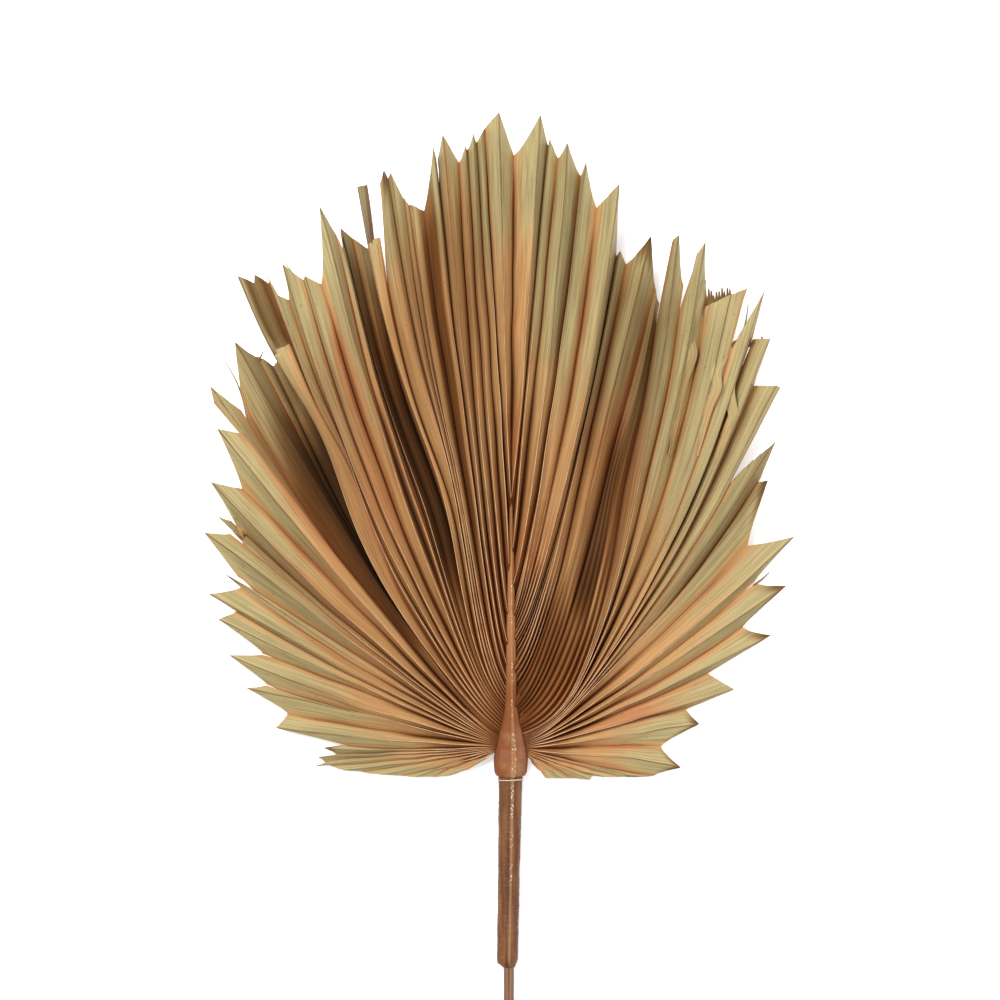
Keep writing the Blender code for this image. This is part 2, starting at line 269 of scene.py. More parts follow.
# Deep folds between the lobes: where the bottom is, how far its shade spreads to the left and to
# the right, all in segments, how dark it is, and where along the leaf and by how much it fades.
HOLLOWS = (
    (20.8, 3.6, 0.3, 1.0, 0.68, 0.95, 0.75),
    (26.0, 0.5, 0.5, 0.8, 0.5, 0.8, 0.9),
    (28.9, 2.2, 0.4, 0.82, 0.6, 1.0, 0.6),
    (34.1, 0.5, 0.35, 0.6, 0.9, 1.0, 0.3),
    (47.35, 0.7, 0.35, 1.0, 0.58, 0.85, 0.95),
)
# Midribs that lie too deep in a hollow to be seen.
BURIED_MIDRIBS = (18, 19, 20, 28, 46, 47)
# Parts of the rim in the shade of the strip before them: first and last place in segments, the
# share of the length from which it starts, and how dark it is.
SHADED_RIMS = ((20.9, 21.4, 0.82, 0.62),)
# Pleats pushed sideways beside a hollow: the place in segments, where along it the push is
# greatest, how far along it the push reaches, its millimetres to the right, and how many segments
# it fades over to the left and to the right.
PUSHES = (
    (21.5, 0.65, 0.12, 12.0, 1.4, 2.6),
    (29.5, 0.42, 0.17, 13.0, 5.0, 7.0),
    (47.7, 0.6, 0.2, -14.0, 3.0, 3.5),
)
# How crumpled the outer half of the leaf is, by segment.
CRUMPLE_AT = np.array((
    (0.0, 1.0), (10.0, 1.0), (13.0, 2.0), (20.0, 1.6), (24.0, 1.2), (47.0, 1.0), (49.0, 2.6),
    (53.0, 2.6), (55.0, 1.2), (66.0, 1.0),
))

# Torn edges that curl up over the next strip: points along each edge, x and y from the heel, how
# far the curl reaches into the strip and how high its edge lifts.
CURLS = (
    ((146, 352), (144, 334), (137, 311), (140, 296), (132, 275), (128, 257), (120, 221)),
    ((172, 307), (164, 298), (157, 283), (158, 271), (150, 254), (140, 220)),
    ((172, 305), (170, 287), (167, 269), (171, 250), (163, 234), (150, 204)),
)
CURL_WIDTH = 8.0
CURL_LIFT = 2.6
# Frayed strands: base, tip and width.
STRANDS = (
    ((-201, 262, 18), (-215, 292, 24), 1.5),
    ((170.8, 305, 29), (177.4, 336, 36), 1.6),
    ((182, 123, 13.5), (194, 133, 16), 1.8),
    ((-190, 292, 16), (-186, 300, 17), 1.6),
    ((-160, 352, 42), (-171, 366, 44), 1.3),
)
# Combs of short threads where a strip broke across: first base, last base, count, lean and width.
COMBS = (
    ((147, 332, 33), (163, 334, 33), 9, (1.0, 14.5, 1.0), 3.4),
    ((172, 302, 29), (187, 302, 30), 8, (1.0, 9.0, 1.0), 3.2),
)
# Segments whose tips have gone dark brown.
BROWN_TIPS = (6, 12, 30, 46, 55, 57, 58, 60, 61, 62)

# Places of the points along a line, as shares of its length: closer together near the stalk.
ROW_COUNT = 48
ROWS = np.linspace(0.0, 1.0, ROW_COUNT + 1) ** 1.15
# The gap between creases past which a pleat gets no deeper, and how many creases to each side are
# compared to tell how deep a fold is.
WIDEST_GAP = 14.0
FOLD_SPAN = 5
# How far apart neighbouring segments' veins start, in the veins' own UV map.
VEINS_APART = 0.05
# Places of the lines across half a pleat, from its midrib to its valley, those of a gathered
# segment, and those of its lines that a fine rib follows, for this many rows from the stalk.
ACROSS = (0.0, 0.08, 0.24, 0.42, 0.6, 0.76, 0.89, 1.0)
ACROSS_GATHERED = (0.0, 0.1, 0.2, 0.3, 0.4, 0.5, 0.6, 0.7, 0.8, 0.9, 1.0)
RIBBED = (0.4, 0.8)
RIB_ROWS = 26
# Segments that are gathered into more folds near the stalk: how deep those folds are, and how
# far out they reach as a share of the segment's length.
GATHERED = {43: (0.7, 0.12), 44: (0.9, 0.2), 45: (1.0, 0.26),
            46: (1.0, 0.34), 47: (1.0, 0.42), 48: (0.7, 0.4)}
# Extra ridges across half of a gathered segment: 1 on a ridge, 0 at the bottom between two.
GATHERS = ((0.0, 0.2, 0.4, 0.6, 0.8, 1.0), (1.0, 0.0, 1.0, 0.0, 0.9, 0.0))

# Fixed colours that go with those of the settings below.
HALF_SHADE = (0.42, 0.28, 0.19)
LEAF_GLEAM = (1.0, 0.62, 0.36)
ROOT_MIDRIB = (0.26, 0.105, 0.035)
RIM_MIDRIB = (0.13, 0.085, 0.035)
STALK_STAIN = (0.36, 0.21, 0.08)
STALK_PORE = (0.16, 0.055, 0.02)
# Painted shade down the stalk's flanks.
STALK_FLANK_SHADE = (0.07, 0.022, 0.008)
STALK_GLUE = (0.75, 0.68, 0.6)
PALE_KEEL = (0.43, 0.20, 0.08)
WORN_PAPER = (0.195, 0.078, 0.026)
# Painted highlight on the crests of the sleeve's crepe, and painted shade in its furrows.
PAPER_CREST_HIGHLIGHT = (0.27, 0.125, 0.05)
PAPER_FURROW_SHADE = (0.10, 0.036, 0.016)
# Painted highlight along the sleeve's keel, and painted shade down its flanks.
PAPER_KEEL_HIGHLIGHT = (0.36, 0.20, 0.10)
PAPER_FLANK_SHADE = (0.05, 0.02, 0.01)
SLEEVE_GLUE = (0.8, 0.74, 0.66)
SOILED_THREAD = (0.5, 0.33, 0.24)
WORN_STICK = (0.175, 0.076, 0.03)
STICK_PORE = (0.14, 0.05, 0.02)
STICK_GLEAM = (0.30, 0.155, 0.075)
# Painted shade down the stick's flanks and along its groove.
STICK_FLANK_SHADE = (0.06, 0.022, 0.01)


# ---------------------------------------------------------------------------------------------
# Settings
# ---------------------------------------------------------------------------------------------


def colour_setting(name, description, default):
    return FloatVectorProperty(name=name, description=description, subtype="COLOR", size=3,
                               min=0.0, max=1.0, default=default)


def length_setting(name, description, default):
    return FloatProperty(name=name, description=description, default=default, min=0.0,
                         unit="LENGTH", precision=5)


class FrondLeafSettings(bpy.types.PropertyGroup):
    """Sizes and colours of the leaf."""

    thickness: length_setting("Thickness", "Thickness of the leaf", 0.0005)
    pleat_depth: length_setting("Pleat depth", "Most that a midrib stands over its valleys", 0.0085)
    crinkle: length_setting("Crinkle", "How far drying has buckled the leaf", 0.0007)
    midrib_radius: length_setting("Midrib radius", "Radius of a midrib near the stalk", 0.00045)
    tan: colour_setting("Tan", "Main colour of the dried leaf", (0.43, 0.239, 0.096))
    sage: colour_setting("Sage", "Colour that is left near the tips", (0.370, 0.303, 0.145))
    terracotta: colour_setting("Terracotta", "Colour of the margins and flushed patches",
                               (0.40, 0.165, 0.068))
    hub: colour_setting("Hub", "Colour of the leaf near the stalk", (0.34, 0.138, 0.046))
    # Painted shade: the colour laid deep in the folds and valleys, which is also the colour of the leaf's
    # fine dark specks.
    fold: colour_setting("Fold", "Colour deep in the folds", (0.032, 0.013, 0.005))
    midrib: colour_setting("Midrib", "Colour of the leaflets' midribs", (0.56, 0.33, 0.16))
    seed: IntProperty(name="Seed", description="Seed of the leaf's irregularities", default=7)


class FrondStalkSettings(bpy.types.PropertyGroup):
    """Colours of the stalk, its sleeve, the thread and the stick."""

    stalk: colour_setting("Stalk", "Colour of the stalk's flanks", (0.205, 0.058, 0.014))
    # Painted highlight: the paler colour laid along the stalk's keel.
    keel: colour_setting("Keel", "Colour of the stalk's raised keel", (0.29, 0.115, 0.036))
    sleeve: colour_setting("Sleeve", "Colour of the paper sleeve", (0.110, 0.036, 0.012))
    thread: colour_setting("Thread", "Colour of the tying thread", (0.78, 0.66, 0.58))
    stick: colour_setting("Stick", "Colour of the stick", (0.115, 0.043, 0.016))
    wrinkle: length_setting("Wrinkle", "Depth of the sleeve's wrinkles", 0.0002)


class FrondStageSettings(bpy.types.PropertyGroup):
    """Floor, lights and camera."""

    floor: colour_setting("Floor", "Colour of the floor", (0.92, 0.92, 0.92))
    glow: FloatProperty(name="Glow", description="Light given off by the floor itself",
                        default=0.5, min=0.0)
    key_power: FloatProperty(name="Key power", description="Power of the main light", default=84.0,
                             min=0.0, unit="POWER")
    sky: FloatProperty(name="Sky", description="Strength of the light from all round",
                       default=0.42, min=0.0)
    lens: FloatProperty(name="Lens", description="Focal length in millimetres", default=240.0, min=1.0)
    distance: FloatProperty(name="Distance", description="Camera's height above the leaf", default=5.0,
                            min=0.1, unit="LENGTH")


# ---------------------------------------------------------------------------------------------
# Nodes
# ---------------------------------------------------------------------------------------------


def put(tree, kind, inputs=None, **settings):
    """A node with its settings and inputs, each of which is a value or another node's output."""
    made = tree.nodes.new(kind)
    for name, value in settings.items():
        setattr(made, name, value)
    for name, value in (inputs or {}).items():
        if isinstance(value, bpy.types.NodeSocket):
            tree.links.new(value, made.inputs[name])
        else:
            made.inputs[name].default_value = value
    return made


def sum_of(tree, first, second, operation="ADD", clamp=False):
    made = put(tree, "ShaderNodeMath", {0: first, 1: second}, operation=operation, use_clamp=clamp)
    return made.outputs[0]


def blend(tree, share, first, second, kind="MIX"):
    """Two colours mixed by a share."""
    colours = [(*c, 1.0) if isinstance(c, (tuple, list)) and len(c) == 3 else c for c in (first, second)]
    made = put(tree, "ShaderNodeMix", {0: share, 6: colours[0], 7: colours[1]},
               data_type="RGBA", blend_type=kind, clamp_factor=True)
    return made.outputs[2]


def ranged(tree, value, low, high, to_low=0.0, to_high=1.0):
    made = put(tree, "ShaderNodeMapRange", {0: value, 1: low, 2: high, 3: to_low, 4: to_high},
               interpolation_type="SMOOTHSTEP")
    return made.outputs[0]


def speckle(tree, vector, scale, detail=2.0, stretch=(1.0, 1.0, 1.0), roughness=0.5):
    """Noise on a vector that is first stretched."""
    placed = put(tree, "ShaderNodeMapping", {"Vector": vector, "Scale": stretch})
    made = put(tree, "ShaderNodeTexNoise", {"Vector": placed.outputs[0], "Scale": scale,
                                            "Detail": detail, "Roughness": roughness})
    return made.outputs["Fac"]


def layered(tree, colour, *layers):
    """A colour with more colours laid over it in turn, each given after its share."""
    for share, over in layers:
        colour = blend(tree, share, colour, over)
    return colour


def attribute(tree, name):
    return put(tree, "ShaderNodeAttribute", attribute_name=name).outputs["Fac"]


def new_material(name):
    """A material, its node tree, its shader and the place on the piece, in the piece's own space."""
    material = bpy.data.materials.new(name)
    material.use_nodes = True
    tree = material.node_tree
    place = put(tree, "ShaderNodeTexCoord").outputs["Object"]
    return material, tree, tree.nodes["Principled BSDF"], place


def dress(tree, shader, colour, rough, relief=None, depth=0.0, strength=0.0, gloss=0.5):
    """Gives a shader its colour, roughness and gloss, and a fine relief of a depth in metres."""
    tree.links.new(colour, shader.inputs["Base Color"])
    tree.links.new(rough, shader.inputs["Roughness"])
    shader.inputs["Specular IOR Level"].default_value = gloss
    if relief is not None:
        lift = put(tree, "ShaderNodeBump", {"Height": relief, "Distance": depth, "Strength": strength})
        tree.links.new(lift.outputs[0], shader.inputs["Normal"])


def rgb(setting):
    return tuple(setting[:3])


def leaf_material():
    """Dried leaf: sage, tan and terracotta by place, drawn out into fine veins along each leaflet, with
    painted shade in its folds and valleys.
    """
    wants = bpy.context.scene.frond_leaf
    material, tree, shader, place = new_material("dried_leaf")
    tone = put(tree, "ShaderNodeAttribute", attribute_name="tone")
    parts = put(tree, "ShaderNodeSeparateColor", {0: tone.outputs["Color"]})
    # The tone's third channel is mostly painted shade, and also carries the dark brown of brown tips.
    sage, flush, fold = parts.outputs[0], parts.outputs[1], parts.outputs[2]
    hub = tone.outputs["Alpha"]
    veins = put(tree, "ShaderNodeUVMap", uv_map="veins").outputs[0]
    fine = speckle(tree, veins, 1.0, 3.0, (620.0, 11.0, 1.0), 0.62)
    broad = speckle(tree, veins, 1.0, 2.0, (230.0, 7.0, 1.0))
    blotch = speckle(tree, place, 16.0, 3.0)
    crumb = speckle(tree, place, 420.0, 2.0)

    # The tones wander along the veins and from patch to patch.
    streak = sum_of(tree, sum_of(tree, broad, 0.5, "SUBTRACT"), 1.1, "MULTIPLY")
    patch = sum_of(tree, sum_of(tree, blotch, 0.5, "SUBTRACT"), 0.9, "MULTIPLY")
    stir = sum_of(tree, streak, patch)
    sage_here = ranged(tree, sum_of(tree, sage, sum_of(tree, stir, 0.7, "MULTIPLY")), 0.12, 0.88)
    flush_here = ranged(tree, sum_of(tree, flush, stir), 0.18, 0.95)
    hub_here = ranged(tree, sum_of(tree, hub, sum_of(tree, stir, 0.5, "MULTIPLY")), 0.1, 1.0)
    colour = layered(tree, blend(tree, sage_here, rgb(wants.tan), rgb(wants.sage)),
                     (hub_here, rgb(wants.hub)), (flush_here, rgb(wants.terracotta)))
    vein = ranged(tree, fine, 0.3, 0.68, 0.7, 1.16)
    vein_shade = put(tree, "ShaderNodeCombineColor", {0: vein, 1: vein, 2: vein}).outputs[0]
    colour = blend(tree, 1.0, colour, vein_shade, "MULTIPLY")
    colour = blend(tree, ranged(tree, crumb, 0.69, 0.76, 0.0, 0.45), colour, rgb(wants.fold))
    # Painted shade: a reddish darkening, then the fold colour, where the tone's third channel is high.
    colour = blend(tree, ranged(tree, fold, 0.0, 0.6), colour, HALF_SHADE, "MULTIPLY")
    colour = blend(tree, ranged(tree, fold, 0.35, 1.0), colour, rgb(wants.fold))
    rough = sum_of(tree, ranged(tree, fine, 0.2, 0.8, 0.42, 0.62),
                   sum_of(tree, fold, 0.35, "MULTIPLY"), clamp=True)
    dress(tree, shader, colour, rough, fine, 0.0006, 0.5, gloss=0.3)
    shader.inputs["Specular Tint"].default_value = (*LEAF_GLEAM, 1.0)
    return material


def midrib_material():
    """The leaflets' midribs: smooth and a little glossy, darker near the stalk and at the rim."""
    wants = bpy.context.scene.frond_leaf
    material, tree, shader, place = new_material("leaflet_midrib")
    along = attribute(tree, "along")
    mottle = speckle(tree, place, 90.0, 3.0)
    colour = layered(tree, blend(tree, ranged(tree, along, 0.0, 0.1), ROOT_MIDRIB, rgb(wants.midrib)),
                     (ranged(tree, along, 0.45, 0.8), RIM_MIDRIB),
                     (ranged(tree, mottle, 0.42, 0.66, 0.0, 0.7), rgb(wants.terracotta)))
    dress(tree, shader, colour, ranged(tree, mottle, 0.3, 0.7, 0.3, 0.5), mottle, 0.0002, 0.3)
    return material


def glue_beads(tree, place, keel, low, high):
    """Where dried glue has beaded along the keel, between two distances in metres from the heel."""
    along = put(tree, "ShaderNodeSeparateXYZ", {0: place}).outputs[1]
    start = ranged(tree, along, HEEL.y + low - 0.01, HEEL.y + low)
    stop = ranged(tree, along, HEEL.y + high, HEEL.y + high + 0.03, 1.0, 0.0)
    beads = ranged(tree, speckle(tree, place, 620.0, 1.0), 0.56, 0.66)
    patchy = ranged(tree, speckle(tree, place, 48.0, 1.0), 0.5, 0.58)
    on_keel = ranged(tree, keel, 0.35, 0.8, 0.0, 0.65)
    within = sum_of(tree, start, stop, "MULTIPLY")
    beaded = sum_of(tree, beads, patchy, "MULTIPLY")
    return sum_of(tree, beaded, sum_of(tree, within, on_keel, "MULTIPLY"), "MULTIPLY")


def stalk_material():
    """Stalk: reddish brown with a painted highlight along its keel and painted shade down its flanks, long
    fibres and a worn sheen.
    """
    wants = bpy.context.scene.frond_stalk
    material, tree, shader, place = new_material("dried_stalk")
    keel = attribute(tree, "keel")
    fibre = speckle(tree, place, 1.0, 3.0, (900.0, 25.0, 900.0))
    stain = speckle(tree, place, 55.0, 3.0)
    along = put(tree, "ShaderNodeSeparateXYZ", {0: place}).outputs[1]
    # The keel is painted paler as a highlight.
    on_keel = ranged(tree, sum_of(tree, keel, sum_of(tree, fibre, 0.35, "MULTIPLY")), 0.25, 1.1)
    colour = layered(tree, blend(tree, on_keel, rgb(wants.stalk), rgb(wants.keel)),
                     (ranged(tree, stain, 0.5, 0.75, 0.0, 0.5), STALK_STAIN),
                     (ranged(tree, fibre, 0.25, 0.6, 0.4, 0.0), STALK_PORE),
                     # Painted shade down the flanks.
                     (ranged(tree, keel, -0.9, -0.1, 0.85, 0.0), STALK_FLANK_SHADE),
                     (ranged(tree, along, HEEL.y + 0.03, HEEL.y + 0.09, 0.0, 0.6), PALE_KEEL),
                     (glue_beads(tree, place, keel, -0.02, 0.14), STALK_GLUE))
    dress(tree, shader, colour, ranged(tree, fibre, 0.2, 0.8, 0.28, 0.5), fibre, 0.0004, 0.4, gloss=0.3)
    return material


def sleeve_material():
    """Brown crepe paper, drawn tight, with painted highlights on the crests of its crepe and painted shade in
    its furrows, a painted highlight along its keel and painted shade down its flanks.
    """
    wants = bpy.context.scene.frond_stalk
    material, tree, shader, place = new_material("brown_paper")
    keel = attribute(tree, "keel")
    crepe = speckle(tree, place, 1.0, 3.0, (260.0, 900.0, 260.0))
    stain = speckle(tree, place, 1.0, 3.0, (240.0, 26.0, 240.0))
    colour = layered(tree, blend(tree, ranged(tree, stain, 0.35, 0.68), rgb(wants.sleeve), WORN_PAPER),
                     # Painted highlight on the crepe's crests and painted shade in its furrows.
                     (ranged(tree, crepe, 0.55, 0.8, 0.0, 0.55), PAPER_CREST_HIGHLIGHT),
                     (ranged(tree, crepe, 0.2, 0.45, 0.5, 0.0), PAPER_FURROW_SHADE),
                     # Painted highlight along the keel and painted shade down the flanks.
                     (ranged(tree, keel, 0.4, 1.0, 0.0, 0.6), PAPER_KEEL_HIGHLIGHT),
                     (ranged(tree, keel, -0.9, -0.1, 0.9, 0.0), PAPER_FLANK_SHADE),
                     (glue_beads(tree, place, keel, -0.095, -0.022), SLEEVE_GLUE))
    dress(tree, shader, colour, ranged(tree, crepe, 0.3, 0.7, 0.5, 0.38), crepe, 0.0004, 0.5, gloss=0.25)
    return material


def thread_material():
    """Pale cotton thread."""
    wants = bpy.context.scene.frond_stalk
    material, tree, shader, place = new_material("white_thread")
    fluff = speckle(tree, place, 2600.0, 2.0)
    colour = blend(tree, ranged(tree, fluff, 0.3, 0.7, 0.0, 0.6), rgb(wants.thread), SOILED_THREAD)
    dress(tree, shader, colour, ranged(tree, fluff, 0.3, 0.7, 0.6, 0.9))
    return material


def stick_material():
    """Round stick wrapped in tape: long streaks and faint turns, with painted highlights beside its groove
    and painted shade in the groove and down its flanks.
    """
    wants = bpy.context.scene.frond_stalk
    material, tree, shader, place = new_material("stick_wrap")
    keel = attribute(tree, "keel")
    grain = speckle(tree, place, 1.0, 4.0, (700.0, 14.0, 700.0))
    turns = put(tree, "ShaderNodeTexWave", {"Vector": place, "Scale": 16.0, "Distortion": 5.0, "Detail": 2.0},
                wave_type="BANDS", bands_direction="Y").outputs["Fac"]
    colour = layered(tree, blend(tree, ranged(tree, grain, 0.35, 0.65), rgb(wants.stick), WORN_STICK),
                     (ranged(tree, grain, 0.2, 0.42, 0.6, 0.0), STICK_PORE),
                     (ranged(tree, turns, 0.0, 0.2, 0.3, 0.0), STICK_PORE),
                     # Painted highlights beside the groove and painted shade in it and down the flanks.
                     (ranged(tree, keel, 0.1, 0.9, 0.0, 0.7), STICK_GLEAM),
                     (ranged(tree, keel, -0.9, -0.1, 0.85, 0.0), STICK_FLANK_SHADE))
    dress(tree, shader, colour, ranged(tree, grain, 0.3, 0.7, 0.4, 0.6), grain, 0.0004, 0.4)
    return material


def floor_material():
    wants = bpy.context.scene.frond_stage
    material, tree, shader, place = new_material("pale_floor")
    tint = rgb(wants.floor)
    mottle = speckle(tree, place, 3.0, 2.0)
    colour = blend(tree, mottle, tint, tuple(0.99 * part for part in tint))
    tree.links.new(colour, shader.inputs["Base Color"])
    shader.inputs["Roughness"].default_value = 0.9
    shader.inputs["Specular IOR Level"].default_value = 0.1
    shader.inputs["Emission Color"].default_value = (1.0, 1.0, 1.0, 1.0)
    shader.inputs["Emission Strength"].default_value = wants.glow
    return material


# ---------------------------------------------------------------------------------------------
# Meshes
# ---------------------------------------------------------------------------------------------


def placed(points):
    """Millimetres from the heel, as metres in the frond's own frame."""
    return np.asarray(points, float) * MM + np.array(HEEL)


def smooth(value, low, high):
    """0 below low, 1 above high, and an eased step between."""
    share = np.clip((np.asarray(value, float) - low) / (high - low), 0.0, 1.0)
    return share * share * (3.0 - 2.0 * share)


def stalk_height(y):
    y = np.asarray(y, float)
    return np.where(y < 0.0, HEEL_HEIGHT + 0.02 * y, HEEL_HEIGHT + 0.16 * y - 0.00025 * y * y)


def show(item):
    """Links a finished object to the scene."""
    bpy.context.scene.collection.objects.link(item)
    return item


def finish_piece(item, material, node=None):
    """Gives a piece its material and ties it to the frame."""
    item.data.materials.clear()
    item.data.materials.append(material)
    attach(item, "root")
    if node:
        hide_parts(node)
    return item


def applied(item, name):
    """The object with its modifiers made part of a plain mesh."""
    graph = bpy.context.evaluated_depsgraph_get()
    data = bpy.data.meshes.new_from_object(item.evaluated_get(graph))
    data.name = name
    item.modifiers.clear()
    if item.type != "MESH":
        made = bpy.data.objects.new(name, data)
        bpy.data.objects.remove(item)
        return show(made)
    item.data = data
    return item


def sharpen(data, degrees):
    """Smooth faces, with the edges already marked and those past an angle kept sharp."""
    shape = bmesh.new()
    shape.from_mesh(data)
    for face in shape.faces:
        face.smooth = True
    for edge in shape.edges:
        if edge.calc_face_angle(0.0) > math.radians(degrees):
            edge.smooth = False
    shape.to_mesh(data)
    shape.free()


def face_outwards(data):
    """Turns a closed mesh's faces outwards and shades them smooth."""
    shape = bmesh.new()
    shape.from_mesh(data)
    bmesh.ops.recalc_face_normals(shape, faces=shape.faces)
    shape.to_mesh(data)
    shape.free()
    data.shade_smooth()


def at_place(order, table, column=1):
    """A table's value at a place counted in segments from the left edge."""
    return np.interp(order, table[:, 0], table[:, column])


def gathers_at(order):
    """How deep the extra gathers of the segment at a place are, and how far out they reach."""
    return GATHERED.get(int(min(order, len(SEGMENTS) - 0.01)), (0.0, 1.0))


class Leaf:
    """The pleated sheet: its lines from the stalk to the rim and the strips between them."""

    def __init__(self, wants):
        self.pleat_depth = wants.pleat_depth / MM
        self.crinkle = wants.crinkle / MM
        self.random = random.Random(wants.seed)
        self.points, self.tones, self.faces, self.uvs = [], [], [], []
        self.midribs, self.ribs, self.creases = [], [], set()
        # Every crease, valley and midrib in turn, is numbered at twice its place in segments.
        plans = [self.plan(crease / 2.0, end) for crease, end in enumerate(self.crease_ends())]
        self.gaps = self.gaps_of(plans)
        self.depths = self.depths_of(plans)
        self.shifts = self.shifts_of(plans)
        self.folds = self.folds_of(plans)

    def crease_ends(self):
        """The rim end of every crease, valley and midrib in turn."""
        ends = [LEFT_EDGE]
        for tip, corners, *_ in SEGMENTS:
            ends += [tip, corners[0]]
        return ends

    def plan(self, order, end):
        """A line's points from the stalk to the rim, before pleats give it height."""
        root_y, sweep, bend = (at_place(order, LINES_AT, k) for k in (1, 2, 3))
        side = np.sign(order - CENTRE_VALLEY)
        half_width = np.interp(root_y, STALK_STATIONS[:, 0], STALK_STATIONS[:, 1])
        root = np.array((side * (half_width - 0.8), root_y, stalk_height(root_y)))
        chord = np.array(end, float) - root
        outward = np.array((chord[1], -chord[0], 0.0)) * side
        swing = sweep * ROWS * (1.0 - ROWS) ** 1.2 + bend * ROWS * np.exp(-ROWS / BEND_REACH)
        points = root + np.outer(ROWS, chord) + np.outer(swing, outward)
        points[:, 2] += BOW * max(0.0, end[2] - BOW_FROM) * np.sin(math.pi * ROWS)
        return points

    def gaps_of(self, plans):
        """How far apart the creases lie round each one, along its length."""
        flat = np.array(plans)[:, :, :2]
        gaps = np.minimum(np.linalg.norm(np.diff(flat, axis=0), axis=2), WIDEST_GAP)
        around = np.empty((len(plans), len(ROWS)))
        around[1:-1] = 0.5 * (gaps[1:] + gaps[:-1])
        around[0], around[-1] = gaps[0], gaps[-1]
        smoothed = around.copy()
        smoothed[1:-1] = (around[:-2] + around[1:-1] + around[2:]) / 3.0
        return smoothed

    def depths_of(self, plans):
        """How far each crease rises or dips, less where creases are close and at the rim."""
        limit = 0.5 * self.pleat_depth
        uneven = np.array([self.random.uniform(0.72, 1.25) for _ in plans])[:, None]
        return uneven * limit * np.tanh(0.62 * self.gaps / limit) * (1.0 - ROWS**5)

    def shifts_of(self, plans):
        """How far each crease strays sideways: a little anyhow, and more where it is pushed."""
        shifts = np.array([self.random.uniform(-0.24, 0.24) for _ in plans])[:, None] * self.gaps
        shifts *= np.sin(math.pi * ROWS) ** 0.7
        for crease in (0, 2 * CENTRE_VALLEY, len(plans) - 1):
            shifts[crease] = 0.0
        for place, peak, spread, most, left, right in PUSHES:
            for crease in range(len(plans)):
                away = crease / 2.0 - place
                away = away / right if away >= 0.0 else -away / left
                if away < 1.0:
                    share = (1.0 - away) ** 1.3 * np.exp(-0.5 * ((ROWS - peak) / spread) ** 2)
                    shifts[crease] = shifts[crease] * (1.0 - share) + most * share
        return shifts

    def folds_of(self, plans):
        """How deep each crease lies below its neighbours, from 0 to 1: the bottoms of big folds."""
        heights = np.array(plans)[:, :, 2]
        folds = np.zeros_like(heights)
        for crease in range(len(plans)):
            near = heights[max(0, crease - FOLD_SPAN): crease + FOLD_SPAN + 1]
            folds[crease] = near.max(axis=0) - heights[crease]
        return smooth(folds, 6.0, 24.0)

    def line(self, order, end, across):
        """Points and tones of one line. across is 0 on a midrib and 1 in a valley."""
        points = self.plan(order, end)
        low = int(min(math.floor(2.0 * order), len(self.depths) - 2))
        share = 2.0 * order - low
        depth, fold, shift, gap = (
            (1.0 - share) * each[low] + share * each[low + 1]
            for each in (self.depths, self.folds, self.shifts, self.gaps))
        chord = points[-1, :2] - points[0, :2]
        sideways = np.array((chord[1], -chord[0])) / np.linalg.norm(chord)
        points[:, :2] += np.outer(shift, sideways)

        # Near the stalk a pleat is a plain fold. Further out its margin is a narrow groove.
        outer = smooth(ROWS, 0.16, 0.5)
        folded = 2.0 * (1.0 - across) ** 1.15 - 1.0
        grooved = 1.0 - 0.35 * across - 1.65 * across**5
        flatter = 1.0 - outer * (1.0 - at_place(order, OUTER_DEPTH_AT))
        points[:, 2] += depth * flatter * (folded + outer * (grooved - folded))
        more, reach = gathers_at(order)
        if more:
            gathering = more * np.minimum(0.42 * gap, 4.5) * smooth(ROWS, 0.0, 0.03)
            gathering *= 1.0 - smooth(ROWS, 0.45 * reach, 1.25 * reach)
            points[:, 2] -= gathering * (1.0 - np.interp(across, *GATHERS))

        # Drying has left each line a little high or low, bent it sideways and buckled the sheet.
        furrow = noise.noise(Vector((order * 7.3, 0.0, 4.4)))
        points[:, 2] += 0.55 * furrow * smooth(ROWS, 0.05, 0.3)
        sway = np.array([noise.noise(Vector((order * 0.9, row * 6.0, 3.0))) for row in ROWS])
        points[:, :2] += np.outer(1.1 * sway * np.sin(math.pi * ROWS), sideways)
        crumple = at_place(order, CRUMPLE_AT)
        for row, point in enumerate(points):
            buckle = noise.noise(Vector((point[0] / 9.0, point[1] / 38.0, 1.7)))
            ripple = noise.noise(Vector((point[0] / 5.0, point[1] / 20.0, 9.1)))
            crumpled = 1.0 + (crumple - 1.0) * float(smooth(ROWS[row], 0.45, 0.7))
            point[2] += self.crinkle * min(1.0, row / 14.0) * crumpled * (buckle + 0.5 * ripple)
        low_part = np.minimum(points[:, 2] - FLOOR_CLEARANCE - FLOOR_EASING, 0.0)
        eased = FLOOR_CLEARANCE + FLOOR_EASING * np.exp(low_part / FLOOR_EASING)
        points[:, 2] = np.where(low_part < 0.0, eased, points[:, 2])
        return points, self.tones_of(order, across, fold)

